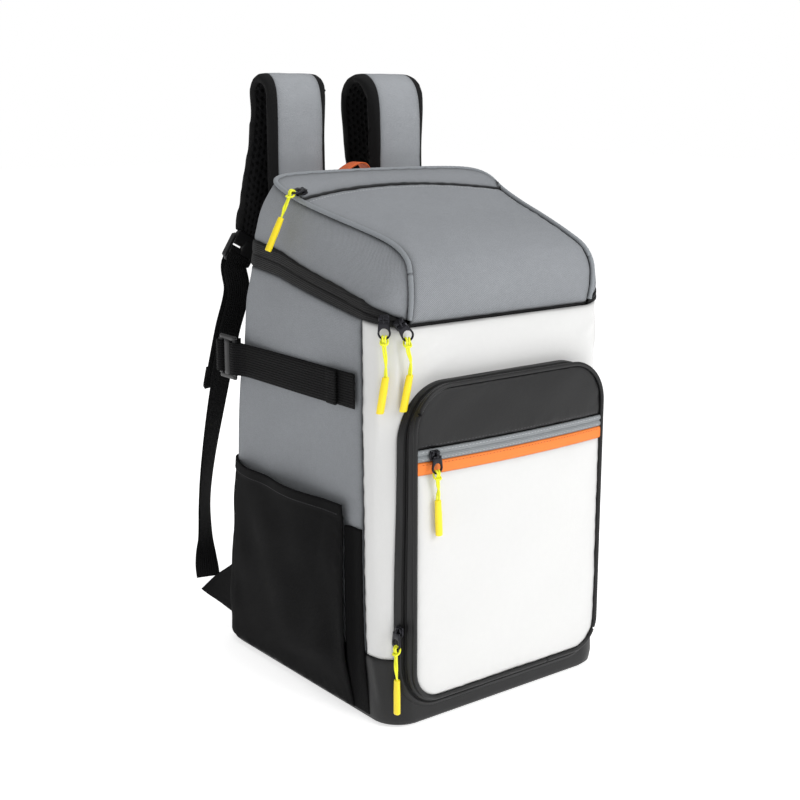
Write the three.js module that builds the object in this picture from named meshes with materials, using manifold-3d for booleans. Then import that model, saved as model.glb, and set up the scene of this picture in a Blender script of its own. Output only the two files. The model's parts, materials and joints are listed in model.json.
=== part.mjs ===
// Cooler backpack, in millimetres. X runs to the viewer's right, Y to the back, Z up.
// The origin is the middle of the base, on the floor. The front faces -Y, the shoulder straps are at +Y.
import * as THREE from 'three';
import Module from 'manifold-3d';
import { mergeVertices } from 'three/addons/utils/BufferGeometryUtils.js';

const wasm = await Module();
wasm.setup();

// Body
const bodyWidth = 272;
const bodyDepth = 294;
const wallHeight = 431;
const baseHeight = 66;
const frontCornerRadius = 28;
const backCornerRadius = 25;
const sideCrown = 3;
const clothThickness = 2;
const seamGap = 0.3;
const backPadThickness = 10;
const frontSeamReach = 3;

// Lid
const lidSeamHeight = 369;
const lidRise = 123;
const lidCrown = 9;
const lidPipingRadius = 2.2;
const lidSideFullness = 3;
const frontZipWidth = 3;
const frontZipSink = 0.5;
const frontZipEnd = 1.04;
const bandProud = 0.8;
const bandFrontEnd = 1.05;
const lidWallFrontEnd = 1.22;
const lidPipingEnd = 1.04;
const lidStripEnd = 3.05;
const lidStripRise = 2;
const swellHeight = 40;

// Front pocket
const pocketHalfWidth = 114.5;
const pocketTop = 318;
const pocketBottom = 27;
const pocketDepth = 18;
const pocketTopRadius = 40;
const pocketBottomRadius = 30;
const pocketFlare = 11;
const pocketTopFlare = 1.5;
const pocketFootTaper = 0.045;
const pocketCrown = 7;
const pocketPipingRadius = 2.2;
const pocketPipingJoint = 0.05;
const pocketZipHeight = 241;
const pocketFlapHeight = 12;
const pocketTapeHeight = 11;

// Side pockets
const sidePocketBottom = 7;
const sidePocketTop = 204;
const sidePocketSlack = 10;
const sidePocketSlackEnd = 0.56;
const sidePocketFrontReach = 26;
const sidePocketRearEnd = 3.75;
const pleatTop = 184;
const pleatDepth = 6;

// Compression straps
const compressionWidth = 32;
const compressionHeight = 311;
const compressionThickness = 1.5;
const compressionTailReach = 32;
const compressionLayerGap = 0.4;
const compressionBuckleLength = 30;
const compressionBuckleHeight = 44;
const buckleThickness = 4;
const buckleBar = 4;
const anchorStation = 3.6;

// Shoulder straps
const strapSpacing = 126;
const strapShift = 8;
const padWidth = 75;
const padThickness = 12;
const padBinding = 11;
const coverThickness = 1;
const strapPeak = 588;
const leftArchRadius = 14.5;
const rightArchRadius = 25;
const padEndWidth = 30;
const ladderWidth = 34;
const ladderHeight = 30;
const ladderThickness = 4;
const webbingWidth = 25;
const webbingThickness = 1.5;
const webbingTailLength = 146;
const webbingTailGap = 9;
const ladderBar = 10;
const lockAcross = 0.91;
const tabSeamStation = 3.8;
const tabTipGap = 6.6;
const tabTipShare = 0.42;
const tabSeamLow = 0.044;
const tabSeamHigh = 0.195;

// Grab handle
const handleSpan = 68;
const handleRise = 66;
const handleWidth = 17;
const handleThickness = 1.6;

// Zip pulls
const rearSliderStation = -1.5;
const frontSliderStation = -1.22;
const pocketSliderShare = 0.84;
const gussetSliderShare = 0.305;
const lidSliderShare = 0.955;
const sliderLidInset = 2;
const sliderLength = 9;
const sliderWidth = 8;
const sliderThickness = 4.5;
const tabLength = 17;
const tabWidth = 7;
const tabThickness = 1.4;
const tabHoleLength = 5.2;
const tabRim = 1.6;
const tabSide = 1;
const cordDiameter = 1.8;
const cordReach = 34;
const gripLength = 34;
const gripRadius = 3.2;
const gripShoulder = 4;

const buckleTurn = buckleThickness / Math.SQRT2 + seamGap + compressionThickness;
const buckleStandoff = 2 * seamGap + buckleTurn;
const halfWidth = bodyWidth / 2;
const halfDepth = bodyDepth / 2;

// Horizontal sections of the bag, from the floor up. Heights are shares of wallHeight,
// across is a share of half the width, front and back are shares of half the depth.
const bodySections = [
  { up: 0.000, across: 0.952, front: 0.972, back: 0.950 },
  { up: 0.010, across: 0.984, front: 1.001, back: 0.981 },
  { up: 0.030, across: 0.993, front: 1.007, back: 0.993 },
  { up: 0.144, across: 1.000, front: 0.973, back: 0.966 },
  { up: 0.302, across: 1.000, front: 0.952, back: 0.915 },
  { up: 0.510, across: 1.000, front: 0.946, back: 0.844 },
  { up: 0.661, across: 1.000, front: 0.939, back: 0.803 },
  { up: 0.759, across: 1.000, front: 0.939, back: 0.748 },
  { up: 0.854, across: 1.000, front: 0.939, back: 0.687 },
  { up: 0.944, across: 0.995, front: 0.939, back: 0.612 },
  { up: 1.000, across: 0.985, front: 0.939, back: 0.600 },
];

// The main zip's edges round the bag. A station counts round the outline from the middle of the
// front: 1 to 2 is the front corner, 2 to 3 the side, 3 to 4 the back corner, 5 the middle of the back.
// Heights are shares of lidSeamHeight.
const zipEdges = [
  { station: 0.00, lower: 1.000, upper: 1.008 },
  { station: 1.00, lower: 1.000, upper: 1.010 },
  { station: 1.50, lower: 1.008, upper: 1.038 },
  { station: 2.00, lower: 1.017, upper: 1.060 },
  { station: 2.20, lower: 1.035, upper: 1.085 },
  { station: 2.50, lower: 1.062, upper: 1.116 },
  { station: 2.75, lower: 1.084, upper: 1.144 },
  { station: 3.00, lower: 1.095, upper: 1.160 },
  { station: 4.00, lower: 1.101, upper: 1.168 },
  { station: 5.00, lower: 1.101, upper: 1.168 },
];

// The lid's top edge, which its piping follows. Across is a share of half the width, along of half
// the depth (front negative), up of lidRise above lidSeamHeight.
const lidEdge = [
  { station: 1.00, across: 0.801, along: -0.952, up: 0.033 },
  { station: 1.15, across: 0.805, along: -0.975, up: 0.185 },
  { station: 1.35, across: 0.801, along: -0.966, up: 0.341 },
  { station: 1.55, across: 0.776, along: -0.912, up: 0.460 },
  { station: 1.75, across: 0.757, along: -0.800, up: 0.540 },
  { station: 2.00, across: 0.768, along: -0.660, up: 0.602 },
  { station: 2.25, across: 0.809, along: -0.463, up: 0.667 },
  { station: 2.50, across: 0.860, along: -0.224, up: 0.740 },
  { station: 2.80, across: 0.919, along: 0.027, up: 0.829 },
  { station: 3.10, across: 0.952, along: 0.204, up: 0.919 },
  { station: 3.35, across: 0.915, along: 0.299, up: 0.963 },
  { station: 3.65, across: 0.794, along: 0.354, up: 0.985 },
  { station: 4.20, across: 0.500, along: 0.374, up: 0.996 },
  { station: 5.00, across: 0.000, along: 0.381, up: 1.000 },
];

// Which station of the lid's top edge stands over each station of its foot: the side panel fans
// out round the front corner, where the top edge comes down to meet the zip.
const lidFan = [
  { foot: 1.10, head: 1.00 },
  { foot: 1.35, head: 1.10 },
  { foot: 1.60, head: 1.22 },
  { foot: 1.80, head: 1.36 },
  { foot: 2.00, head: 1.55 },
  { foot: 2.15, head: 1.75 },
  { foot: 2.30, head: 2.00 },
  { foot: 2.45, head: 2.25 },
  { foot: 2.60, head: 2.50 },
  { foot: 2.80, head: 2.80 },
  { foot: 5.00, head: 5.00 },
];

// How far the lid's top swells between its side edges: back as a share of half the depth,
// up as a share of lidCrown.
const lidSwell = [
  { station: 1.00, back: -0.007, up: 0.00 },
  { station: 1.35, back: -0.034, up: 0.00 },
  { station: 1.75, back: -0.014, up: 0.33 },
  { station: 2.25, back: 0.020, up: 0.55 },
  { station: 2.80, back: 0.122, up: 1.00 },
];

// The shoulder strap below its arch. Across is a share of half the strap spacing, behind of the
// base's half depth, up of strapPeak, width a share from the full pad width (1) to its end width (0).
const padRise = [
  { across: 0.95, behind: 0.775, up: 0.664 },
  { across: 0.98, behind: 0.773, up: 0.750 },
  { across: 1.00, behind: 0.773, up: 0.830 },
  { across: 1.00, behind: 0.773, up: 0.920 },
];
const padFall = [
  { across: 1.01, drop: 0.035, out: 0.00, width: 1.00 },
  { across: 1.06, drop: 0.090, out: 0.00, width: 1.00 },
  { across: 1.19, drop: 0.145, out: -0.007, width: 0.95 },
  { across: 1.36, drop: 0.185, out: -0.020, width: 0.80 },
  { across: 1.53, drop: 0.212, out: -0.027, width: 0.50 },
  { across: 1.65, drop: 0.234, out: -0.020, width: 0.15 },
  { across: 1.70, drop: 0.244, out: -0.014, width: 0.00 },
];

// The lower webbing from its tab up to the ladder lock. Across is a share of half the width, behind
// of half the depth, up of the ladder lock's height, turn is the band's twist in degrees.
const webbingRoute = [
  { across: 0.984, behind: 1.238, up: 0.140, turn: -20, tilt: 38 },
  { across: 0.968, behind: 1.286, up: 0.185, turn: 0, tilt: 20 },
  { across: 0.950, behind: 1.320, up: 0.245, turn: 24, tilt: 5 },
  { across: 0.955, behind: 1.306, up: 0.345, turn: 32, tilt: 0 },
  { across: 0.970, behind: 1.224, up: 0.470, turn: 26, tilt: 0 },
  { across: 0.958, behind: 1.122, up: 0.640, turn: 12, tilt: 0 },
  { across: 0.912, behind: 1.027, up: 0.830, turn: 4, tilt: -8 },
  { across: 0.860, behind: 0.985, up: 0.935, turn: 0, tilt: -24 },
];

// One zip pull's cord, in the pull's own frame: across, down from the tab's lower bar and out.
// It goes up one side, through the tab's hole and down the other side. Millimetres, chosen by hand.
const cordRoute = [
  [-1.3, 34.0, 0.3], [-1.3, 29.0, 0.4], [-1.3, 24.0, 0.7], [-1.2, 19.0, 1.3], [-1.0, 14.0, 2.0],
  [-0.8, 9.5, 2.8], [-0.5, 5.5, 3.4], [-0.3, 2.2, 3.6], [-0.2, -0.2, 3.2], [-0.1, -2.0, 1.9],
  [0.0, -2.7, 0.0], [0.1, -2.0, -1.9], [0.2, -0.2, -3.2], [0.3, 2.2, -3.6], [0.5, 5.5, -3.4],
  [0.8, 9.5, -2.8], [1.0, 14.0, -2.0], [1.2, 19.0, -1.3], [1.3, 24.0, -0.7], [1.3, 29.0, -0.4],
  [1.3, 34.0, -0.3],
];

function finish(color, roughness, metalness = 0) {
  return new THREE.MeshStandardMaterial({ color, roughness, metalness });
}

const materials = {
  grey: finish(0x7f8285, 0.85),
  white: finish(0xececec, 0.45),
  black: finish(0x242426, 0.5),
  woven: finish(0x1c1c1e, 0.9),
  mesh: finish(0x1a1a1c, 0.95),
  orange: finish(0xf58c3a, 0.6),
  tape: finish(0x8f9294, 0.8),
  yellow: finish(0xeeea28, 0.5),
  plastic: finish(0x202022, 0.4),
  metal: finish(0x2a2a2c, 0.35, 0.9),
};

const backpack = new THREE.Group();
const sides = [{ name: 'left', sign: -1 }, { name: 'right', sign: 1 }];

function addPiece(name, geometry, material) {
  const piece = new THREE.Mesh(geometry, material);
  piece.name = name;
  backpack.add(piece);
}

const lerp = THREE.MathUtils.lerp;
const smooth = THREE.MathUtils.smoothstep;
const vector = (x, y, z) => new THREE.Vector3(x, y, z);

// Value of each column of a table at a key, straight between its rows
function lookUp(table, key, value) {
  let i = 0;
  while (i < table.length - 2 && value > table[i + 1][key]) i += 1;
  const low = table[i];
  const high = table[i + 1];
  const share = (value - low[key]) / (high[key] - low[key]);
  const row = {};
  for (const column of Object.keys(low)) row[column] = lerp(low[column], high[column], share);
  return row;
}

// Value of each column of a table at a key, on a smooth curve through its rows
function lookUpSmooth(table, key, value) {
  let i = 0;
  while (i < table.length - 2 && value > table[i + 1][key]) i += 1;
  const before = table[Math.max(i - 1, 0)];
  const low = table[i];
  const high = table[i + 1];
  const after = table[Math.min(i + 2, table.length - 1)];
  const step = high[key] - low[key];
  const t = (value - low[key]) / step;
  const row = {};
  for (const column of Object.keys(low)) {
    const slopeLow = (high[column] - before[column]) / (high[key] - before[key]) * step;
    const slopeHigh = (after[column] - low[column]) / (after[key] - low[key]) * step;
    row[column] = low[column] * (2 * t ** 3 - 3 * t ** 2 + 1) + slopeLow * (t ** 3 - 2 * t ** 2 + t)
      + high[column] * (3 * t ** 2 - 2 * t ** 3) + slopeHigh * (t ** 3 - t ** 2);
  }
  return row;
}

function bufferFrom(positions, faces) {
  let volume = 0;
  for (const [a, b, c] of faces) volume += positions[a].dot(positions[b].clone().cross(positions[c]));
  const geometry = new THREE.BufferGeometry();
  geometry.setAttribute('position', new THREE.Float32BufferAttribute(positions.flatMap((p) => p.toArray()), 3));
  geometry.setIndex(faces.flatMap(([a, b, c]) => (volume > 0 ? [a, b, c] : [a, c, b])));
  geometry.computeVertexNormals();
  return geometry;
}

// Points of a surface on a grid of rows by columns
function grid(rows, columns, pointAt) {
  const points = [];
  for (let i = 0; i <= rows; i += 1) {
    points.push([]);
    for (let j = 0; j <= columns; j += 1) points[i].push(pointAt(i / rows, j / columns));
  }
  return points;
}

// The same grid moved in along its normals towards a middle point, or straight sideways if level
function inwardGrid(points, distance, middle, level = false) {
  const rows = points.length;
  const columns = points[0].length;
  return points.map((row, i) => row.map((point, j) => {
    const along = points[Math.min(i + 1, rows - 1)][j].clone().sub(points[Math.max(i - 1, 0)][j]);
    const across = row[Math.min(j + 1, columns - 1)].clone().sub(row[Math.max(j - 1, 0)]);
    const normal = along.cross(across);
    if (level) normal.setZ(0);
    normal.normalize();
    if (normal.dot(point.clone().sub(middle)) < 0) normal.negate();
    return point.clone().addScaledVector(normal, -distance);
  }));
}

// A closed wall between two grids of the same size; a closed one joins its last row to its first
function wallBetween(outer, inner, closed = false) {
  const rows = outer.length;
  const columns = outer[0].length;
  const positions = [...outer.flat(), ...inner.flat()];
  const faces = [];
  const o = (i, j) => (i % rows) * columns + j;
  const n = (i, j) => rows * columns + o(i, j);
  const quad = (a, b, c, d) => faces.push([a, b, c], [a, c, d]);
  const lastRow = closed ? rows : rows - 1;
  const end = columns - 1;
  for (let i = 0; i < lastRow; i += 1) {
    for (let j = 0; j < end; j += 1) {
      quad(o(i, j), o(i + 1, j), o(i + 1, j + 1), o(i, j + 1));
      quad(n(i, j), n(i, j + 1), n(i + 1, j + 1), n(i + 1, j));
    }
    quad(o(i, 0), n(i, 0), n(i + 1, 0), o(i + 1, 0));
    quad(o(i + 1, end), n(i + 1, end), n(i, end), o(i, end));
  }
  if (!closed) {
    const last = rows - 1;
    for (let j = 0; j < end; j += 1) {
      quad(o(0, j + 1), n(0, j + 1), n(0, j), o(0, j));
      quad(o(last, j), n(last, j), n(last, j + 1), o(last, j + 1));
    }
  }
  return bufferFrom(positions, faces);
}

// A closed solid from a ring of points at each station of a path, with flat ends
function sweep(rings) {
  const count = rings[0].length;
  const positions = rings.flat();
  const faces = [];
  for (let i = 0; i < rings.length - 1; i += 1) {
    for (let k = 0; k < count; k += 1) {
      const next = (k + 1) % count;
      const a = i * count + k;
      const b = i * count + next;
      faces.push([a, b, b + count], [a, b + count, a + count]);
    }
  }
  const top = (rings.length - 1) * count;
  for (let k = 1; k < count - 1; k += 1) {
    faces.push([0, k + 1, k], [top, top + k, top + k + 1]);
  }
  return bufferFrom(positions, faces);
}

function rectangle(Kind, left, low, right, high) {
  const outline = new Kind();
  outline.moveTo(left, low);
  outline.lineTo(right, low);
  outline.lineTo(right, high);
  outline.lineTo(left, high);
  outline.lineTo(left, low);
  return outline;
}

function tubeAlong(points, radius, radialSides, steps) {
  const circle = new THREE.Shape();
  circle.absarc(0, 0, radius, 0, 2 * Math.PI);
  const path = new THREE.CatmullRomCurve3(points);
  return new THREE.ExtrudeGeometry(circle, { steps, curveSegments: radialSides / 2, extrudePath: path });
}

function toSolid(geometry) {
  const bare = geometry.clone();
  bare.deleteAttribute('normal');
  bare.deleteAttribute('uv');
  const merged = mergeVertices(bare, 0.0005);
  const vertProperties = new Float32Array(merged.attributes.position.array);
  const triVerts = new Uint32Array(merged.index.array);
  return new wasm.Manifold(new wasm.Mesh({ numProp: 3, vertProperties, triVerts }));
}

function fromSolid(solid) {
  const mesh = solid.getMesh();
  const geometry = new THREE.BufferGeometry();
  geometry.setAttribute('position', new THREE.Float32BufferAttribute(mesh.vertProperties, 3));
  geometry.setIndex(new THREE.Uint32BufferAttribute(mesh.triVerts, 1));
  geometry.computeVertexNormals();
  return geometry;
}

function sectionAt(height) {
  const row = lookUp(bodySections, 'up', THREE.MathUtils.clamp(height / wallHeight, 0, 1));
  return { across: row.across * halfWidth, front: -row.front * halfDepth, back: row.back * halfDepth };
}

// A point of the bag's outer face at a height and a station, moved straight outwards by proud.
// Negative stations run round the viewer's left side, positive ones round the right.
function outlinePoint(height, station, proud = 0) {
  const section = sectionAt(height);
  const side = station < 0 ? -1 : 1;
  const along = Math.abs(station);
  const frontRadius = frontCornerRadius + proud;
  const backRadius = backCornerRadius + proud;
  const across = section.across + proud;
  const front = section.front - proud;
  const back = section.back + proud;
  let x = across;
  let y = 0;
  if (along <= 1) {
    x = (across - frontRadius) * along;
    y = front;
  } else if (along <= 2) {
    const angle = (along - 1) * Math.PI / 2;
    x = across - frontRadius + frontRadius * Math.sin(angle);
    y = front + frontRadius - frontRadius * Math.cos(angle);
  } else if (along <= 3) {
    y = lerp(front + frontRadius, back - backRadius, along - 2);
    x += sideCrown * Math.sin(Math.PI * (along - 2)) ** 2 * smooth(height, 0, baseHeight);
  } else if (along <= 4) {
    const angle = (along - 3) * Math.PI / 2;
    x = across - backRadius + backRadius * Math.cos(angle);
    y = back - backRadius + backRadius * Math.sin(angle);
  } else {
    x = (across - backRadius) * (5 - along);
    y = back;
  }
  return vector(side * x, y, height);
}

const sideRun = (height) => {
  const section = sectionAt(height);
  return section.back - backCornerRadius - section.front - frontCornerRadius;
};
const frontSeamStation = 2 + frontSeamReach / sideRun(baseHeight);
const stationGap = seamGap / sideRun(baseHeight);
const backSeamStation = 3.96;
const backSeamGap = 0.02;

// Stations run on past the middle of the back as negative ones: 5 and -5 are the same place
const wrap = (station) => (station > 5 ? station - 10 : station);
const backStation = (u) => wrap(lerp(backSeamStation + backSeamGap, 10 - backSeamStation - backSeamGap, u));

// Heights of the main zip's two edges at a station
const zipLower = (station) => lookUp(zipEdges, 'station', Math.abs(station)).lower * lidSeamHeight;
const zipUpper = (station) => lookUp(zipEdges, 'station', Math.abs(station)).upper * lidSeamHeight;

// Stations of a wall's rows: its two ends, and between them the marks that every wall shares
const stationMarks = [0, 0.5, 1, 1.2, 1.4, 1.6, 1.8, 2, 2.2, 2.4, 2.6, 2.8, 3, 3.2, 3.4, 3.6, 3.8, 4, 4.5, 5];
function stationsBetween(from, to) {
  const marks = stationMarks.flatMap((mark) => [mark, -mark]);
  const inside = marks.filter((mark) => mark > Math.min(from, to) + 0.02 && mark < Math.max(from, to) - 0.02);
  const sorted = [...new Set(inside.map((mark) => mark + 0))].sort((a, b) => (a - b) * Math.sign(to - from));
  return [from, ...sorted, to];
}

// Heights of a wall's columns: its two ends, and between them those of the table of sections
function heightsBetween(low, high) {
  const marks = bodySections.flatMap((row, i) => {
    const next = bodySections[Math.min(i + 1, bodySections.length - 1)];
    return [row.up * wallHeight, (row.up + next.up) / 2 * wallHeight];
  });
  return [low, ...marks.filter((mark) => mark > low + 2 && mark < high - 8), high];
}

// Part of the bag's wall between two stations and two heights, which may change along it
function outlineWall({ from, to, bottom, top, outerProud = 0, innerProud = -clothThickness, columns }) {
  const wallGrid = (proud) => stationsBetween(from, to).map((station) => {
    const row = [];
    for (let j = 0; j <= columns; j += 1) {
      row.push(outlinePoint(lerp(bottom(station), top(station), j / columns), station, proud));
    }
    return row;
  });
  return wallBetween(wallGrid(outerProud), wallGrid(innerProud));
}

function bodyPanels() {
  const level = (height) => () => height;
  const above = level(baseHeight + seamGap);
  addPiece('front_panel', outlineWall({
    from: -frontSeamStation, to: frontSeamStation, bottom: above, top: zipLower, columns: 6,
  }), materials.white);
  for (const { name, sign } of sides) {
    addPiece(`side_panel_${name}`, outlineWall({
      from: sign * (frontSeamStation + stationGap), to: sign * backSeamStation,
      bottom: above, top: zipLower, columns: 6,
    }), materials.grey);
    addPiece(`zip_band_${name}`, outlineWall({
      from: sign * bandFrontEnd, to: sign * backSeamStation,
      bottom: (station) => zipLower(station) + seamGap, top: (station) => zipUpper(station) - seamGap,
      outerProud: bandProud, columns: 1,
    }), materials.black);
  }
  addPiece('zip_band_front', outlineWall({
    from: -frontZipEnd, to: frontZipEnd, bottom: (station) => zipLower(station) + seamGap,
    top: (station) => zipLower(station) + frontZipWidth - seamGap, outerProud: -frontZipSink, columns: 1,
  }), materials.black);
  const backPoint = (proud) => (u, v) => {
    const station = backStation(u);
    return outlinePoint(lerp(baseHeight + seamGap, zipUpper(station) - seamGap, v), station, proud(u, v));
  };
  const padSwell = (u, v) => {
    const across = smooth(Math.min(u, 1 - u), 0, 0.08);
    const up = smooth(Math.min(v, 1 - v), 0, 0.04);
    return Math.min(across, up) * backPadThickness;
  };
  addPiece('back_panel', wallBetween(
    grid(10, 10, backPoint(padSwell)), grid(10, 10, backPoint(() => -clothThickness)),
  ), materials.mesh);
}

// The base is a tray: a flat floor with a rounded edge that turns up into low walls
function baseTray() {
  const heights = [0, 0.010 * wallHeight, 0.030 * wallHeight, baseHeight / 2, baseHeight];
  const stations = [...stationMarks, ...stationMarks.slice(1, -1).reverse().map((mark) => -mark)];
  const ring = (height, proud) => stations.map((station) => outlinePoint(height, station, proud));
  const outer = heights.map((height) => ring(height, 0));
  const floorTop = clothThickness + 1;
  const inner = heights.map((height, i) => ring(height, -clothThickness)
    .map((point) => (i === 0 ? point.setZ(floorTop) : point.setZ(Math.max(point.z, floorTop + i)))));
  const rings = [...outer, ...inner.reverse()];
  const positions = rings.flat();
  const count = stations.length;
  const faces = [];
  for (let i = 0; i < rings.length - 1; i += 1) {
    for (let k = 0; k < count; k += 1) {
      const a = i * count + k;
      const b = i * count + (k + 1) % count;
      faces.push([a, b, b + count], [a, b + count, a + count]);
    }
  }
  const below = positions.push(vector(0, 0, 0)) - 1;
  const within = positions.push(vector(0, 0, floorTop)) - 1;
  const top = (rings.length - 1) * count;
  for (let k = 0; k < count; k += 1) {
    const next = (k + 1) % count;
    faces.push([below, next, k], [within, top + k, top + next]);
  }
  addPiece('base_tray', bufferFrom(positions, faces), materials.black);
}

// A point of the lid's top edge at a station, on one side
function lidEdgePoint(station) {
  const row = lookUpSmooth(lidEdge, 'station', Math.abs(station));
  const side = station < 0 ? -1 : 1;
  return vector(side * row.across * halfWidth, row.along * halfDepth, lidSeamHeight + row.up * lidRise);
}

function lidHead(station) {
  return Math.sign(station) * lookUp(lidFan, 'foot', Math.abs(station)).head;
}

// A point of the lid's walls: straight from the zip band up to the top edge, with a slight swell
function lidWallPoint(station, v) {
  const foot = outlinePoint(zipUpper(station) + seamGap, station);
  const head = lidEdgePoint(lidHead(station));
  const point = foot.clone().lerp(head, v);
  const out = vector(point.x / halfWidth, point.y / halfDepth, 0).normalize();
  const height = head.distanceTo(foot);
  const swell = lidSideFullness * Math.sin(Math.PI * v);
  return point.addScaledVector(out, swell * Math.min(height / swellHeight, 1));
}

// A point of the lid's top between its two side edges: q runs from -1 on the left to 1 on the right
function lidTopPoint(station, q) {
  const edge = lidEdgePoint(station);
  const swell = lookUpSmooth(lidSwell, 'station', station);
  const middle = 1 - q * q;
  return vector(edge.x * q, edge.y + swell.back * halfDepth * middle, edge.z + swell.up * lidCrown * middle);
}

const lidMiddle = vector(0, 0, lidSeamHeight);
const lidZipStation = 2.8;
const lidZipShare = 0.1;

function lid() {
  const pipingClearance = lidPipingRadius + 4 * seamGap;
  const edgeShare = (station) => 1 - pipingClearance / Math.max(lidEdgePoint(station).x, 1);
  const topGrid = grid(12, 8, (u, v) => {
    const station = lerp(lidEdge[0].station, lidZipStation, u);
    return lidTopPoint(station, (2 * v - 1) * edgeShare(station));
  });
  const topInner = inwardGrid(topGrid, clothThickness, lidMiddle);
  addPiece('lid_top_panel', wallBetween(topGrid, topInner), materials.grey);

  // The walls stop short of the piping, measured square to it
  const wallTop = (station) => {
    const head = lidHead(station);
    const rise = lidEdgePoint(head).sub(outlinePoint(zipUpper(station) + seamGap, station));
    const edgeStep = lidEdgePoint(head * 1.01).sub(lidEdgePoint(head * 0.99));
    const square = rise.clone().normalize().cross(edgeStep.normalize()).length();
    return 1 - pipingClearance / square / rise.length();
  };
  const lidWall = (from, to) => {
    const points = stationsBetween(from, to).map((station) => {
      const row = [];
      for (let j = 0; j <= 4; j += 1) row.push(lidWallPoint(station, j / 4 * wallTop(station)));
      return row;
    });
    return wallBetween(points, inwardGrid(points, clothThickness, lidMiddle, true));
  };
  for (const { name, sign } of sides) {
    addPiece(`lid_side_${name}`, lidWall(sign * lidWallFrontEnd, sign * backSeamStation), materials.grey);
  }
  const backGrid = grid(10, 4, (u, v) => {
    const station = backStation(u);
    return lidWallPoint(station, v * wallTop(station));
  });
  const backInner = inwardGrid(backGrid, clothThickness, lidMiddle, true);
  addPiece('lid_back_panel', wallBetween(backGrid, backInner), materials.grey);

  // The strip behind the top pocket's zip, up to the back piping; share 0 is at the zip, 1 at the piping
  const widest = lidEdgePoint(3.1).x;
  const stripPoint = (station, share) => {
    const behind = lidEdgePoint(wrap(station));
    const front = lidTopPoint(lidZipStation, edgeShare(lidZipStation) * behind.x / widest);
    const length = behind.distanceTo(front);
    const t = lerp(seamGap / length, 1 - pipingClearance / length, share);
    const point = front.lerp(behind, t);
    point.z += lidStripRise * Math.sin(Math.PI * t);
    return point;
  };
  const stripGrid = (low, high, columns) => grid(16, columns, (u, v) => {
    const station = lerp(lidStripEnd, 10 - lidStripEnd, u);
    return stripPoint(station, lerp(low, high, v));
  });
  const zipGrid = stripGrid(0, lidZipShare, 1);
  const zipInner = inwardGrid(zipGrid, clothThickness, lidMiddle);
  addPiece('lid_pocket_zip', wallBetween(zipGrid, zipInner), materials.black);
  const backStrip = stripGrid(lidZipShare + 0.01, 1, 2);
  const strip = wallBetween(backStrip, inwardGrid(backStrip, clothThickness, lidMiddle));

  const pipingPoints = [];
  const pipingSteps = 66;
  for (let i = 0; i <= pipingSteps; i += 1) {
    pipingPoints.push(lidEdgePoint(wrap(lerp(lidPipingEnd, 10 - lidPipingEnd, i / pipingSteps))));
  }
  addPiece('lid_piping', tubeAlong(pipingPoints, lidPipingRadius, 6, 42), materials.grey);
  const clearance = tubeAlong(pipingPoints, lidPipingRadius + 2 * seamGap, 6, 42);
  addPiece('lid_back_strip', fromSolid(toSolid(strip).subtract(toSolid(clearance))), materials.grey);
}

const pocketPlane = sectionAt(pocketTop).front - pocketDepth;
const lowestSeam = 0.012;

// Outline of the pocket's face, run round from the middle of the bottom; grown moves its sides and
// bottom outwards, and raised its top
function pocketContour(share, grown = 0, raised = 0) {
  const width = pocketHalfWidth + grown;
  const low = pocketBottom - grown;
  const high = pocketTop + raised;
  const bottomRadius = pocketBottomRadius + grown;
  const topRadius = pocketTopRadius + grown;
  const shape = new THREE.Path();
  shape.moveTo(0, low);
  shape.lineTo(width - bottomRadius, low);
  shape.absarc(width - bottomRadius, low + bottomRadius, bottomRadius, -Math.PI / 2, 0, false);
  shape.lineTo(width, high - topRadius);
  shape.absarc(width - topRadius, high - topRadius, topRadius, 0, Math.PI / 2, false);
  shape.lineTo(topRadius - width, high);
  shape.absarc(topRadius - width, high - topRadius, topRadius, Math.PI / 2, Math.PI, false);
  shape.lineTo(-width, low + bottomRadius);
  shape.absarc(bottomRadius - width, low + bottomRadius, bottomRadius, Math.PI, 1.5 * Math.PI, false);
  shape.lineTo(0, low);
  return shape.getPointAt(share);
}

// The bag's front face straight behind a point of the pocket, with its rounded corners
function frontFaceDepth(x, z) {
  const section = sectionAt(z);
  const beyond = Math.abs(x) - (section.across - frontCornerRadius);
  if (beyond <= 0) return section.front;
  return section.front + frontCornerRadius - Math.sqrt(Math.max(frontCornerRadius ** 2 - beyond ** 2, 0));
}

// Half the width of the pocket's face at a height, kept inside its outline by an inset
function pocketReach(z, inset) {
  const corner = (radius, beyond) => pocketHalfWidth - radius
    + Math.sqrt(Math.max((radius - inset) ** 2 - Math.max(beyond, 0) ** 2, 0));
  if (z > (pocketTop + pocketBottom) / 2) return corner(pocketTopRadius, z - pocketTop + pocketTopRadius);
  return corner(pocketBottomRadius, pocketBottom + pocketBottomRadius - z);
}

function facePoint(x, z, proud = 0) {
  const middle = (pocketTop + pocketBottom) / 2;
  const acrossShare = 1 - (x / pocketHalfWidth) ** 2;
  const upShare = 1 - Math.abs((z - middle) / (pocketTop - middle)) ** 3;
  return vector(x, pocketPlane - pocketCrown * acrossShare * upShare - proud, z);
}

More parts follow.
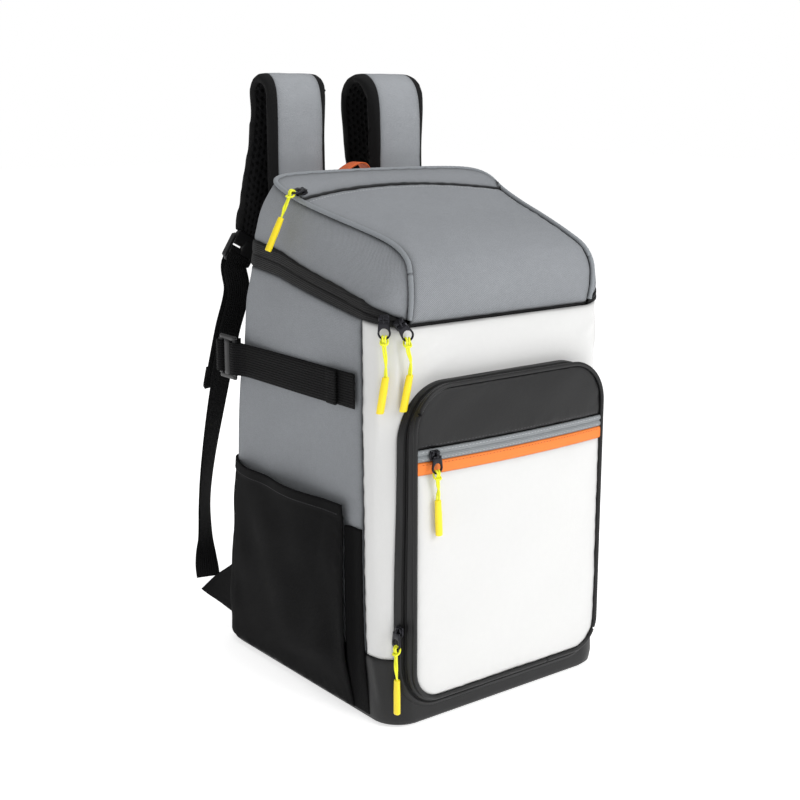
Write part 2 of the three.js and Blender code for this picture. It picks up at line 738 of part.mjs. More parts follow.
function frontPocket() {
  const inset = pocketPipingRadius + seamGap;
  const edge = inset + 4 * seamGap;
  const faceBand = (low, high, rows) => {
    const pointAt = (proud) => (u, v) => {
      const z = lerp(low, high, u);
      return facePoint((2 * v - 1) * pocketReach(z, edge), z, proud);
    };
    return wallBetween(grid(rows, 8, pointAt(0)), grid(rows, 8, pointAt(-clothThickness)));
  };
  const flapTop = pocketZipHeight + pocketFlapHeight;
  const tapeTop = flapTop + pocketTapeHeight;
  addPiece('pocket_face', faceBand(pocketBottom + edge, pocketZipHeight, 9), materials.white);
  addPiece('pocket_zip_flap', faceBand(pocketZipHeight + seamGap, flapTop, 1), materials.orange);
  addPiece('pocket_zip_tape', faceBand(flapTop + seamGap, tapeTop, 1), materials.tape);
  addPiece('pocket_upper_panel', faceBand(tapeTop + seamGap, pocketTop - edge, 6), materials.black);

  // The gusset runs from the piping back to the bag; v is 0 at the bag and 1 at the piping
  const gussetPoint = (u, v, inward) => {
    const foot = pocketContour(u, pocketFlare, pocketTopFlare);
    foot.x *= 1 - pocketFootTaper * smooth(foot.y, pocketBottom, pocketTop);
    const head = pocketContour(u, 0);
    const footHeight = Math.max(foot.y, lowestSeam * wallHeight);
    const footReach = Math.max(Math.abs(foot.x) - 2 * clothThickness, 0);
    const footDepth = frontFaceDepth(footReach, footHeight) - 2 * seamGap;
    const reach = inset / (pocketPlane - footDepth);
    const t = v * (1 + reach);
    const middle = vector(0, 0, (pocketTop + pocketBottom) / 2);
    const point = vector(lerp(foot.x, head.x, t), lerp(footDepth, pocketPlane, t), lerp(footHeight, head.y, t));
    const towards = vector(middle.x - point.x, 0, middle.z - point.z);
    if (Math.abs(head.x) >= pocketHalfWidth - seamGap) towards.setZ(0);
    return point.addScaledVector(towards.normalize(), inward);
  };
  const turns = 44;
  const gusset = (low, high, sink) => {
    const ringAt = (inward) => {
      const ring = [];
      for (let i = 0; i < turns; i += 1) {
        ring.push([low, high].map((v) => gussetPoint(i / turns, v, inward)));
      }
      return ring;
    };
    return wallBetween(ringAt(sink), ringAt(sink + clothThickness), true);
  };
  addPiece('pocket_gusset_rear', gusset(0.03, 0.38, 0), materials.black);
  addPiece('pocket_gusset_zip', gusset(0.40, 0.62, 0.4), materials.woven);
  addPiece('pocket_gusset_front', gusset(0.64, 1, 0), materials.black);

  const pipingPoints = [];
  const pipingShare = 0.999;
  const pipingSteps = 80;
  for (let i = 0; i <= pipingSteps; i += 1) {
    const point = pocketContour((pocketPipingJoint + i / pipingSteps * pipingShare) % 1);
    pipingPoints.push(vector(point.x, pocketPlane, point.y));
  }
  addPiece('pocket_piping', tubeAlong(pipingPoints, pocketPipingRadius, 6, 48), materials.black);
}

function sidePockets() {
  const pocketFrom = 2 + sidePocketFrontReach / sideRun(sidePocketTop / 2);
  const slack = (station, height) => {
    const along = (station - pocketFrom) / (sidePocketRearEnd - pocketFrom);
    const rise = smooth(height, 0, sidePocketTop);
    const mouth = sidePocketSlack * Math.sin(Math.PI * Math.min(along / sidePocketSlackEnd, 1)) ** 0.7 * rise;
    const frontEdge = pleatDepth * (1 - smooth(along, 0, 0.5)) * smooth(height, 0, 0.3 * sidePocketTop);
    return 2 * seamGap + Math.max(mouth, frontEdge);
  };
  for (const { name, sign } of sides) {
    const pocketGrid = (thickness) => stationsBetween(pocketFrom, sidePocketRearEnd).map((station) => (
      heightsBetween(sidePocketBottom, sidePocketTop)
        .map((height) => outlinePoint(height, sign * station, slack(station, height) + thickness))
    ));
    addPiece(`side_pocket_${name}`, wallBetween(pocketGrid(clothThickness), pocketGrid(0)), materials.woven);
    const pleatFrom = frontSeamStation + 0.01;
    const pleatTo = pocketFrom - 0.004;
    const pleatGrid = (thickness) => stationsBetween(pleatFrom, pleatTo).map((station) => (
      heightsBetween(sidePocketBottom, pleatTop).map((height) => {
        const share = (station - pleatFrom) / (pleatTo - pleatFrom);
        const lift = smooth(height, 0, 0.3 * sidePocketTop) * (pleatDepth - clothThickness) * share;
        return outlinePoint(height, sign * station, 2 * seamGap + lift + thickness);
      })
    ));
    const pleat = wallBetween(pleatGrid(clothThickness), pleatGrid(0));
    addPiece(`side_pocket_pleat_${name}`, pleat, materials.woven);
  }
}

// Webbing that runs back along the side to the buckle, turns round its bar and lies doubled on itself
function compressionStraps() {
  const low = compressionHeight - compressionWidth / 2;
  const section = sectionAt(compressionHeight);
  const buckleFront = section.back - backCornerRadius + buckleBar;
  const wallX = section.across + sideCrown;
  const layer = compressionThickness;
  const inner = wallX + 2 * seamGap;
  const outer = inner + layer + compressionLayerGap;
  const seamY = outlinePoint(compressionHeight, frontSeamStation + 2 * stationGap).y;
  const tailY = section.front + frontCornerRadius + compressionTailReach;
  const barY = buckleFront + buckleBar;
  const barMiddle = wallX + buckleStandoff;
  const bendRadius = buckleTurn;
  for (const { name, sign } of sides) {
    const bandShape = new THREE.Shape();
    bandShape.moveTo(inner, seamY);
    bandShape.lineTo(inner, barY);
    bandShape.absarc(barMiddle, barY, bendRadius, Math.PI, 0, true);
    bandShape.lineTo(barMiddle + bendRadius, buckleFront - 2);
    bandShape.lineTo(outer + layer, buckleFront - 16);
    bandShape.lineTo(outer + layer, tailY);
    bandShape.lineTo(outer, tailY);
    bandShape.lineTo(outer, buckleFront - 14);
    bandShape.lineTo(barMiddle + bendRadius - layer, buckleFront - 1);
    bandShape.lineTo(barMiddle + bendRadius - layer, barY);
    bandShape.absarc(barMiddle, barY, bendRadius - layer, 0, Math.PI, false);
    bandShape.lineTo(inner + layer, seamY);
    bandShape.closePath();
    const depth = compressionWidth;
    const webbing = new THREE.ExtrudeGeometry(bandShape, { depth, bevelEnabled: false, curveSegments: 4 });
    if (sign < 0) mirrorX(webbing);
    webbing.translate(0, 0, low);
    addPiece(`compression_strap_${name}`, webbing, materials.woven);

    const halfHeight = compressionBuckleHeight / 2;
    const buckleEnd = buckleFront + compressionBuckleLength;
    const frame = rectangle(THREE.Shape, buckleFront, -halfHeight, buckleEnd, halfHeight);
    const slotReach = compressionWidth / 2 + 1;
    const middle = buckleFront + compressionBuckleLength / 2;
    const slots = [[barY + buckleThickness / 2, middle - 1], [middle + 3, buckleEnd - buckleBar]];
    slots.forEach(([from, to], i) => {
      const reach = slotReach - i * seamGap;
      frame.holes.push(rectangle(THREE.Path, from, -reach, to, reach));
    });
    const plate = new THREE.ExtrudeGeometry(frame, { depth: buckleThickness, bevelEnabled: false });
    plate.rotateX(Math.PI / 2);
    plate.rotateZ(Math.PI / 2);
    plate.computeBoundingBox();
    const { min, max } = plate.boundingBox;
    const below = compressionHeight - (min.z + max.z) / 2;
    plate.translate(barMiddle - buckleThickness / 2 - min.x, buckleFront - min.y, below);
    if (sign < 0) mirrorX(plate);
    addPiece(`compression_buckle_${name}`, plate, materials.plastic);
  }
}

// Turns a shape over to the other side and keeps its faces pointing outwards
function mirrorX(geometry) {
  geometry.scale(-1, 1, 1);
  flipFaces(geometry);
}

// Centre points, widths and directions of one shoulder strap, from the back panel over the arch
function padStations(sign, archRadius) {
  const half = strapSpacing / 2;
  const archTop = strapPeak - padThickness / 2 - archRadius;
  const stations = [];
  const placeX = (across) => sign * across * half + strapShift;
  const riseDepth = padRise[0].behind * halfDepth;
  for (let i = 0; i <= 4; i += 1) {
    const row = lookUpSmooth(padRise, 'up', lerp(padRise[0].up, padRise[3].up, i / 4));
    stations.push({ at: vector(placeX(row.across), row.behind * halfDepth, row.up * strapPeak), width: 1 });
  }
  for (let i = 0; i <= 8; i += 1) {
    const angle = Math.PI * (1 - i / 8);
    const y = riseDepth + archRadius + archRadius * Math.cos(angle);
    stations.push({ at: vector(placeX(1), y, archTop + archRadius * Math.sin(angle)), width: 1 });
  }
  for (let i = 0; i <= 10; i += 1) {
    const row = lookUpSmooth(padFall, 'drop', lerp(padFall[0].drop, padFall[6].drop, i / 10));
    const y = riseDepth + 2 * archRadius + row.out * halfDepth;
    stations.push({ at: vector(placeX(row.across), y, archTop - row.drop * strapPeak), width: row.width });
  }
  return stations.map((station, i) => {
    const before = stations[Math.max(i - 1, 0)].at;
    const after = stations[Math.min(i + 1, stations.length - 1)].at;
    const along = after.clone().sub(before).normalize();
    const out = vector(1, 0, 0).cross(along).normalize();
    const across = along.clone().cross(out).normalize();
    const width = lerp(padEndWidth, padWidth, station.width);
    return { at: station.at, across, out, along, width };
  });
}

function ringFrom({ at, across, out }, section) {
  return section.map(([a, o]) => at.clone().addScaledVector(across, a).addScaledVector(out, o));
}

function shoulderStraps() {
  for (const { name, sign } of sides) {
    const archRadius = sign < 0 ? leftArchRadius : rightArchRadius;
    const stations = padStations(sign, archRadius);
    const half = padThickness / 2;
    addPiece(`strap_pad_${name}`, sweep(stations.map((station) => {
      const b = station.width / 2;
      const a = b - half * 0.7;
      const o = half * 0.4;
      const c = b - padBinding;
      return ringFrom(station, [[-a, -half], [a, -half], [b, -o], [b, o], [a, half], [c, half], [-c, half],
        [-a, half], [-b, o], [-b, -o]]);
    })), materials.mesh);
    addPiece(`strap_cover_${name}`, sweep(stations.map((station) => {
      const b = station.width / 2 - padBinding;
      const low = half + seamGap;
      const high = low + coverThickness;
      return ringFrom(station, [[b, low], [-b, low], [-b, high], [b, high]]);
    })), materials.grey);
    ladderAndWebbing(name, sign, stations[stations.length - 1]);
  }
}

// The ladder lock in line with the pad's end, and the webbing that comes up behind its lower bar,
// turns over it and hangs down again as the loose end
function ladderAndWebbing(name, sign, padEnd) {
  const { across, out } = padEnd;
  const down = padEnd.along;
  const place = (a, d, o) => {
    const point = padEnd.at.clone().addScaledVector(across, a);
    return point.addScaledVector(down, d).addScaledVector(out, o);
  };
  const plateTop = 2 * seamGap;
  const plateEnd = plateTop + ladderHeight;
  const shape = rectangle(THREE.Shape, -ladderWidth / 2, plateTop, ladderWidth / 2, plateEnd);
  const slotReach = webbingWidth / 2 + 1;
  const barTop = plateEnd - ladderBar;
  const slots = [
    [plateTop + 0.14 * ladderHeight, plateTop + 0.33 * ladderHeight],
    [plateTop + 0.45 * ladderHeight, barTop],
  ];
  slots.forEach(([from, to], i) => {
    const reach = slotReach - i * seamGap;
    shape.holes.push(rectangle(THREE.Path, -reach, from, reach, to));
  });
  const plate = new THREE.ExtrudeGeometry(shape, { depth: ladderThickness, bevelEnabled: false });
  plate.translate(0, 0, -ladderThickness / 2);
  const basis = new THREE.Matrix4().makeBasis(across, down, out).setPosition(padEnd.at);
  plate.applyMatrix4(basis);
  if (basis.determinant() < 0) flipFaces(plate);
  addPiece(`ladder_lock_${name}`, plate, materials.plastic);

  const bend = ladderThickness / Math.SQRT2 + seamGap + webbingThickness / 2;
  const turnAt = barTop + ladderThickness / 2;
  const lockEnd = place(0, plateEnd + 3, -bend - 4 * seamGap);
  const lean = lockEnd.x - sign * lockAcross * halfWidth;
  const route = webbingRoute.map((row) => {
    const turn = THREE.MathUtils.degToRad(row.turn);
    const tilt = THREE.MathUtils.degToRad(row.tilt);
    const level = Math.cos(tilt);
    const wide = vector(-sign * Math.cos(turn) * level, Math.sin(turn) * level, Math.sin(tilt));
    const x = sign * row.across * halfWidth + lean * smooth(row.up, 0.3, 1);
    return { at: vector(x, row.behind * halfDepth, row.up * lockEnd.z), wide };
  });
  const wideTop = across.clone().multiplyScalar(-sign);
  route.push({ at: lockEnd, wide: wideTop });
  const path = new THREE.CatmullRomCurve3(route.map((point) => point.at));
  const wides = new THREE.CatmullRomCurve3(route.map((point) => point.wide));
  const mainSteps = 22;
  const main = [];
  for (let i = 0; i <= mainSteps; i += 1) {
    main.push({ at: path.getPoint(i / mainSteps), wide: wides.getPoint(i / mainSteps).normalize() });
  }
  const turnSteps = 6;
  const turnPoints = [];
  for (let i = 0; i <= turnSteps; i += 1) {
    const angle = Math.PI * i / turnSteps;
    turnPoints.push({ at: place(0, turnAt - bend * Math.sin(angle), -bend * Math.cos(angle)), wide: wideTop });
  }
  // The loose end hangs beside the main run, further out, and ends at its own length
  const tail = [{ at: place(0, plateEnd, bend), wide: wideTop }];
  let length = ladderBar;
  for (let i = mainSteps - 1; i > 0; i -= 1) {
    const { at, wide } = main[i];
    const along = main[i + 1].at.clone().sub(main[i - 1].at).normalize();
    const away = along.clone().cross(wide).normalize();
    if (away.y < 0) away.negate();
    const point = at.clone().addScaledVector(away, webbingTailGap);
    const previous = tail[tail.length - 1].at;
    const step = point.distanceTo(previous);
    const share = Math.min((webbingTailLength - length) / step, 1);
    tail.push({ at: previous.clone().lerp(point, share), wide });
    length += step * share;
    if (share < 1) break;
  }
  const webbing = band([...main, ...turnPoints, ...tail], webbingWidth, webbingThickness);
  addPiece(`lower_webbing_${name}`, webbing, materials.woven);

  // The tab: from the seam at the bag's back corner out to the end of the webbing
  const seamAt = (share) => outlinePoint(share * wallHeight, sign * tabSeamStation, 4 * seamGap);
  const seam = [tabSeamLow, tabSeamHigh].map(seamAt);
  const tipStep = main[0].at.clone().sub(main[1].at).setLength(tabTipGap);
  const tip = main[0].at.clone().add(tipStep);
  const tipHalf = tabTipShare * webbingWidth;
  const tipEdge = [-1, 1].map((end) => tip.clone().addScaledVector(main[0].wide, end * tipHalf));
  const facing = seam[1].clone().sub(seam[0]).cross(tipEdge[0].clone().sub(seam[0])).normalize();
  const tabFace = (lift) => grid(4, 2, (u, v) => {
    const lower = seam[0].clone().lerp(tipEdge[0], u);
    return lower.lerp(seam[1].clone().lerp(tipEdge[1], u), v).addScaledVector(facing, lift);
  });
  const tab = wallBetween(tabFace(webbingThickness / 2), tabFace(-webbingThickness / 2));
  addPiece(`webbing_tab_${name}`, tab, materials.woven);
}

function flipFaces(geometry) {
  const array = geometry.attributes.position.array;
  for (let i = 0; i < array.length; i += 9) {
    for (let k = 0; k < 3; k += 1) [array[i + 3 + k], array[i + 6 + k]] = [array[i + 6 + k], array[i + 3 + k]];
  }
}

// A flat band through a row of points, each with the direction of its width
function band(points, width, thickness) {
  const faceAt = (lift) => points.map(({ at, wide }, i) => {
    const before = points[Math.max(i - 1, 0)].at;
    const after = points[Math.min(i + 1, points.length - 1)].at;
    const along = after.clone().sub(before).normalize();
    const out = along.clone().cross(wide).normalize();
    const across = out.clone().cross(along).normalize();
    return [-0.5, 0.5].map((end) => at.clone().addScaledVector(across, end * width).addScaledVector(out, lift));
  });
  return wallBetween(faceAt(thickness / 2), faceAt(-thickness / 2));
}

// The grab handle: a band bent into an arch, standing on the top of the back panel
function grabHandle() {
  const foot = zipUpper(5) + seamGap;
  const depth = outlinePoint(foot, 5).y + handleWidth / 2 + 2 * seamGap;
  const rows = [[-1, 0], [-0.98, 0.2], [-0.9, 0.42], [-0.7, 0.66], [-0.32, 0.88], [0, 1]];
  const arch = [...rows, ...rows.slice(0, -1).reverse().map(([x, z]) => [-x, z])];
  const archPoint = ([x, z]) => vector(x * handleSpan / 2, depth, foot + z * handleRise);
  const path = new THREE.CatmullRomCurve3(arch.map(archPoint));
  const points = path.getPoints(28).map((at) => ({ at, wide: vector(0, 1, 0) }));
  addPiece('grab_handle', band(points, handleWidth, handleThickness), materials.orange);
}

// Short webbing that holds the buckle's rear bar to the back corner of the bag
function compressionAnchors() {
  const section = sectionAt(compressionHeight);
  const bar = vector(section.across + sideCrown + buckleStandoff, section.back - backCornerRadius + buckleBar
    + compressionBuckleLength - buckleBar / 2, 0);
  const bend = buckleThickness / Math.SQRT2 + seamGap + compressionThickness / 2;
  const seam = outlinePoint(compressionHeight - compressionWidth / 2, anchorStation, 4 * seamGap).setZ(0);
  const points = [seam, vector(bar.x - bend, bar.y, 0)];
  for (let i = 1; i <= 8; i += 1) {
    const angle = Math.PI * (1 + i / 8);
    points.push(vector(bar.x + bend * Math.cos(angle), bar.y + bend * Math.sin(angle), 0));
  }
  const rear = bar.y + buckleBar / 2 + bend / 2;
  points.push(vector(bar.x + 0.7 * bend, rear, 0), vector(bar.x - 0.3 * bend, rear + seamGap, 0));
  const half = compressionThickness / 2;
  const edges = [1, -1].map((turn) => points.map((point, i) => {
    const along = points[Math.min(i + 1, points.length - 1)].clone().sub(points[Math.max(i - 1, 0)]).normalize();
    return point.clone().add(vector(-along.y, along.x, 0).multiplyScalar(turn * half));
  }));
  const corners = [...edges[0], ...edges[1].reverse()];
  const outline = new THREE.Shape(corners.map((point) => new THREE.Vector2(point.x, point.y)));
  for (const { name, sign } of sides) {
    const webbing = new THREE.ExtrudeGeometry(outline, { depth: compressionWidth, bevelEnabled: false });
    if (sign < 0) mirrorX(webbing);
    webbing.translate(0, 0, compressionHeight - compressionWidth / 2);
    addPiece(`compression_anchor_${name}`, webbing, materials.woven);
  }
}

// Each zip pull: where its slider sits, which way is out, and which way the tab and the cord hang
function pullSeats() {
  const bandMiddle = (station) => (zipLower(station) + zipUpper(station)) / 2;
  const onBody = (station) => {
    const height = bandMiddle(station);
    const seat = outlinePoint(height, station, bandProud);
    return { seat, out: outlinePoint(height, station, bandProud + 1).sub(seat) };
  };
  const down = vector(0, 0, -1);
  const tapeMiddle = pocketZipHeight + pocketFlapHeight + pocketTapeHeight / 2;
  const pocketSeat = facePoint(pocketSliderShare * -pocketHalfWidth, tapeMiddle);
  const gussetDepth = (sectionAt(pocketTop).front + pocketPlane) / 2;
  const gussetAcross = -pocketHalfWidth - pocketFlare / 2 - seamGap;
  const gussetSeat = vector(gussetAcross, gussetDepth, gussetSliderShare * pocketTop);
  const lidSeat = lidTopPoint(lidZipStation, -lidSliderShare).add(vector(0, sliderLidInset, 0));
  const front = vector(0, -1, 0);
  const left = vector(-1, 0, 0);
  const upLeft = vector(-0.15, -0.15, 1);
  return [
    { name: 'main_rear', ...onBody(rearSliderStation), tab: down, hang: down, reach: 1, rise: seamGap },
    { name: 'main_front', ...onBody(frontSliderStation), tab: down, hang: down, reach: 0.85, rise: seamGap },
    { name: 'pocket', seat: pocketSeat, out: front, tab: down, hang: down, reach: 0.74, rise: 2 * seamGap },
    { name: 'gusset', seat: gussetSeat, out: left, tab: down, hang: vector(-0.01, -0.05, -1), reach: 0.88, rise: 3 },
    { name: 'lid_pocket', seat: lidSeat, out: upLeft, tab: vector(-0.85, -0.45, -0.1),
      hang: vector(-0.38, 0.12, -0.9), reach: 0.78, rise: 4.2 },
  ];
}

function zipPulls() {
  for (const pull of pullSeats()) {
    const out = pull.out.clone().normalize();
    const tab = pull.tab.clone().addScaledVector(out, -pull.tab.dot(out)).normalize();
    const across = tab.clone().cross(out).normalize();
    const origin = pull.seat.clone().addScaledVector(out, pull.rise);
    const frame = new THREE.Matrix4().makeBasis(across, tab, out).setPosition(origin);
    const body = new THREE.BoxGeometry(sliderLength, sliderWidth, sliderThickness);
    body.translate(0, 0, sliderThickness / 2);
    const halfTab = tabWidth / 2;
    const halfHole = halfTab - tabSide;
    const holeEnd = tabLength - tabRim;
    const plate = rectangle(THREE.Shape, -halfTab, 0, halfTab, tabLength);
    plate.holes.push(rectangle(THREE.Path, -halfHole, holeEnd - tabHoleLength, halfHole, holeEnd));
    const tabSolid = new THREE.ExtrudeGeometry(plate, { depth: tabThickness, bevelEnabled: false });
    tabSolid.translate(0, 0, sliderThickness - seamGap);
    const slider = fromSolid(toSolid(body).add(toSolid(tabSolid)));
    slider.applyMatrix4(frame);
    addPiece(`slider_${pull.name}`, slider, materials.metal);

    // The cord loops round the bar at the tab's lower end and hangs to the grip
    const tabMiddle = sliderThickness - seamGap + tabThickness / 2;
    const bar = vector(0, tabLength - tabRim / 2, tabMiddle).applyMatrix4(frame);
    const hang = pull.hang.clone().addScaledVector(across, -pull.hang.dot(across)).normalize();
    const facing = across.clone().cross(hang).normalize();
    const reach = cordReach * pull.reach;
    const cordPoints = cordRoute.map(([a, d, o]) => bar.clone().addScaledVector(across, a)
      .addScaledVector(hang, d > 0 ? d * pull.reach : d).addScaledVector(facing, o));
    addPiece(`pull_cord_${pull.name}`, tubeAlong(cordPoints, cordDiameter / 2, 4, 12), materials.yellow);
    const r = gripRadius;
    const profile = [
      [0, 0], [0.6 * r, 0], [0.8 * r, gripShoulder / 2], [r, gripShoulder], [r, gripLength - gripShoulder],
      [0.85 * r, gripLength - 0.4 * gripShoulder], [0.5 * r, gripLength], [0, gripLength],
    ];
    const grip = new THREE.LatheGeometry(profile.map(([x, y]) => new THREE.Vector2(x, y)), 7);
    const gripFrame = new THREE.Matrix4().makeBasis(across, hang, across.clone().cross(hang));
    grip.applyMatrix4(gripFrame.setPosition(bar.clone().addScaledVector(hang, reach + seamGap)));
    addPiece(`pull_grip_${pull.name}`, fromSolid(toSolid(grip)), materials.yellow);
  }
}

bodyPanels();
baseTray();
lid();
frontPocket();
sidePockets();
compressionStraps();
compressionAnchors();
shoulderStraps();
grabHandle();
zipPulls();

export default backpack;
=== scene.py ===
import json
import bpy
import numpy as np
from mathutils import Matrix, Vector

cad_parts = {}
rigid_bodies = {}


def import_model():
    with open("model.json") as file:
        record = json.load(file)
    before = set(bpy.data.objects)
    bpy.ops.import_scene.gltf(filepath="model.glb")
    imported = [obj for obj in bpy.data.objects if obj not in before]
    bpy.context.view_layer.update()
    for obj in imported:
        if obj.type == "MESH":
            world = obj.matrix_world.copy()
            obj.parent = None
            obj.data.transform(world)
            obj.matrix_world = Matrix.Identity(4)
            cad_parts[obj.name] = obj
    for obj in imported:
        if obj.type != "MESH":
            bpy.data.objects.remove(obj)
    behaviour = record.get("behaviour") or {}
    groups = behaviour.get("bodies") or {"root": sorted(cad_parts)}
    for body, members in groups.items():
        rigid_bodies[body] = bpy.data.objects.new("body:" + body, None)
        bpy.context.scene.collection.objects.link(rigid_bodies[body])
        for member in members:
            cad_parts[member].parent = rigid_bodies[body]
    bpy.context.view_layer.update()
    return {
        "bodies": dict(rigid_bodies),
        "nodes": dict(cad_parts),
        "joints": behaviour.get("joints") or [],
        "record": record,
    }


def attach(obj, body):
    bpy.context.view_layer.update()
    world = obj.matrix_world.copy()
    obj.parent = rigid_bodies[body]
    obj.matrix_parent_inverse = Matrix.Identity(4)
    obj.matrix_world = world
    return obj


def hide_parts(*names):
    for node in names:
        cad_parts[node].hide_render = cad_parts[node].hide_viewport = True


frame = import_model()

# Soft cooler backpack. Points are worked out in millimetres in the bag's own frame and written to
# the meshes in metres: X to the viewer's right, Y to the back, Z up, origin under the middle of the base.

# ---------------------------------------------------------------- measures shared by the pieces
bag = {
    "width": 272, "depth": 294, "wall": 431, "base": 66, "frontCorner": 28, "backCorner": 25,
    "crown": 3, "cloth": 2, "gap": 0.3, "backPad": 10, "frontSeam": 2.016, "backSeam": 3.96,
}
halfWidth = bag["width"] / 2
halfDepth = bag["depth"] / 2

# horizontal sections, from the floor up: shares of the wall's height, half width and half depth
bodySections = {
    "up": [0.000, 0.010, 0.030, 0.144, 0.302, 0.510, 0.661, 0.759, 0.854, 0.944, 1.000],
    "across": [0.952, 0.984, 0.993, 1.000, 1.000, 1.000, 1.000, 1.000, 1.000, 0.995, 0.985],
    "front": [0.972, 1.001, 1.007, 0.973, 0.952, 0.946, 0.939, 0.939, 0.939, 0.939, 0.939],
    "back": [0.950, 0.981, 0.993, 0.966, 0.915, 0.844, 0.803, 0.748, 0.687, 0.612, 0.600],
}
# a station counts round the bag from the middle of the front: 1-2 front corner, 2-3 side,
# 3-4 back corner, 5 middle of the back; negative on the viewer's left
zipEdges = {
    "station": [0.00, 1.00, 1.50, 2.00, 2.20, 2.50, 2.75, 3.00, 4.00, 5.00],
    "lower": [1.000, 1.000, 1.008, 1.017, 1.035, 1.062, 1.084, 1.095, 1.101, 1.101],
    "upper": [1.008, 1.010, 1.038, 1.060, 1.085, 1.116, 1.144, 1.160, 1.168, 1.168],
}
lidSize = {"seam": 369, "rise": 123, "crown": 9, "piping": 2.2, "zip": 4, "fullness": 3, "zipStation": 2.8}
lidEdge = {
    "station": [1.00, 1.15, 1.35, 1.55, 1.75, 2.00, 2.25, 2.50, 2.80, 3.10, 3.35, 3.65, 4.20, 5.00],
    "across": [0.801, 0.805, 0.801, 0.776, 0.757, 0.768, 0.809, 0.860, 0.919, 0.952, 0.915, 0.794, 0.500, 0.000],
    "along": [-0.952, -0.975, -0.966, -0.912, -0.800, -0.660, -0.463, -0.224, 0.027, 0.204, 0.299, 0.354, 0.374,
              0.381],
    "up": [0.033, 0.185, 0.341, 0.460, 0.540, 0.602, 0.667, 0.740, 0.829, 0.919, 0.963, 0.985, 0.996, 1.000],
}
lidFan = {
    "foot": [1.10, 1.35, 1.60, 1.80, 2.00, 2.15, 2.30, 2.45, 2.60, 2.80, 5.00],
    "head": [1.00, 1.10, 1.22, 1.36, 1.55, 1.75, 2.00, 2.25, 2.50, 2.80, 5.00],
}
lidSwell = {
    "station": [1.00, 1.35, 1.75, 2.25, 2.80],
    "back": [-0.007, -0.034, -0.014, 0.020, 0.122],
    "up": [0.00, 0.00, 0.33, 0.55, 1.00],
}
pocket = {
    "half": 114.5, "top": 318, "bottom": 27, "depth": 18, "topRadius": 40, "bottomRadius": 30, "flare": 11, "topFlare": 1.5, "footTaper": 0.045,
    "crown": 7, "piping": 2.2, "joint": 38, "zip": 241, "flap": 12, "tape": 11,
}
sides = (("left", -1), ("right", 1))


# ---------------------------------------------------------------- arithmetic on whole arrays
def lerp(a, b, t):
    return a + (b - a) * t


def smooth(x, low, high):
    # rises from 0 at low to 1 at high, level at both ends: 3t^2 - 2t^3
    t = np.clip((x - low) / (high - low), 0, 1)
    return t * t * (3 - 2 * t)


def column(table, key, value, at):
    # straight between the table's rows
    return np.interp(at, table[key], table[value])


def smoothColumn(table, key, value, at):
    # a cubic through the rows, whose slope at each row is that between its two neighbours
    x, y = np.asarray(table[key], float), np.asarray(table[value], float)
    slope = np.gradient(y, x)
    slope[1:-1] = (y[2:] - y[:-2]) / (x[2:] - x[:-2])
    at = np.asarray(at, float)
    i = np.clip(np.searchsorted(x, at, side="right") - 1, 0, len(x) - 2)
    step = x[i + 1] - x[i]
    t = (at - x[i]) / step
    return (y[i] * (2 * t**3 - 3 * t**2 + 1) + slope[i] * step * (t**3 - 2 * t**2 + t)
            + y[i + 1] * (3 * t**2 - 2 * t**3) + slope[i + 1] * step * (t**3 - t**2))


def waves(x, y, size, seed, count=14):
    # soft folds: a sum of sine waves of about the given length in random directions, of unit height
    rng = np.random.default_rng(seed)
    total = 0 * (x + y)
    for angle, length, phase in zip(rng.uniform(0, np.pi, count), size * rng.uniform(0.6, 1.7, count),
                                    rng.uniform(0, 2 * np.pi, count)):
        total = total + np.sin(2 * np.pi * (x * np.cos(angle) + y * np.sin(angle)) / length + phase)
    return total / np.sqrt(count / 2)


def unit(vectors):
    return vectors / np.maximum(np.linalg.norm(vectors, axis=-1, keepdims=True), 1e-9)


def stack(x, y, z):
    return np.stack(np.broadcast_arrays(x, y, z), -1).astype(float)


def normalsOf(points, closed=False):
    # cross product of the surface's two directions at each point of the grid
    if closed:
        along = np.roll(points, -1, 0) - np.roll(points, 1, 0)
    else:
        along = np.gradient(points, axis=0)
    return unit(np.cross(along, np.gradient(points, axis=1)))


def arcs(points, closed=False):
    # distance run along the rows and along the columns, in millimetres
    shape = points.shape[:2]
    u, v = np.zeros(shape), np.zeros(shape)
    u[1:] = np.cumsum(np.linalg.norm(np.diff(points, axis=0), axis=-1), 0)
    v[:, 1:] = np.cumsum(np.linalg.norm(np.diff(points, axis=1), axis=-1), 1)
    return u, v


def resample(points, count):
    # the same line with evenly spaced points
    run = np.r_[0, np.cumsum(np.linalg.norm(np.diff(points, axis=0), axis=1))]
    at = np.linspace(0, run[-1], count)
    return np.stack([np.interp(at, run, points[:, k]) for k in range(3)], -1)


def smoothLine(points, count):
    # a cubic through a few points, spaced by the distance between them
    points = np.asarray(points, float)
    run = np.r_[0, np.cumsum(np.linalg.norm(np.diff(points[:, :3], axis=0), axis=1))]
    at = np.linspace(0, run[-1], count)
    return np.stack([smoothColumn({"run": run, "value": values}, "run", "value", at) for values in points.T], -1)


# ---------------------------------------------------------------- the bag's own surfaces
def sectionAt(height):
    up = np.clip(np.asarray(height, float) / bag["wall"], 0, 1)
    return [np.where(up < 0.03, column(bodySections, "up", key, up), smoothColumn(bodySections, "up", key, up))
            for key in ("across", "front", "back")]


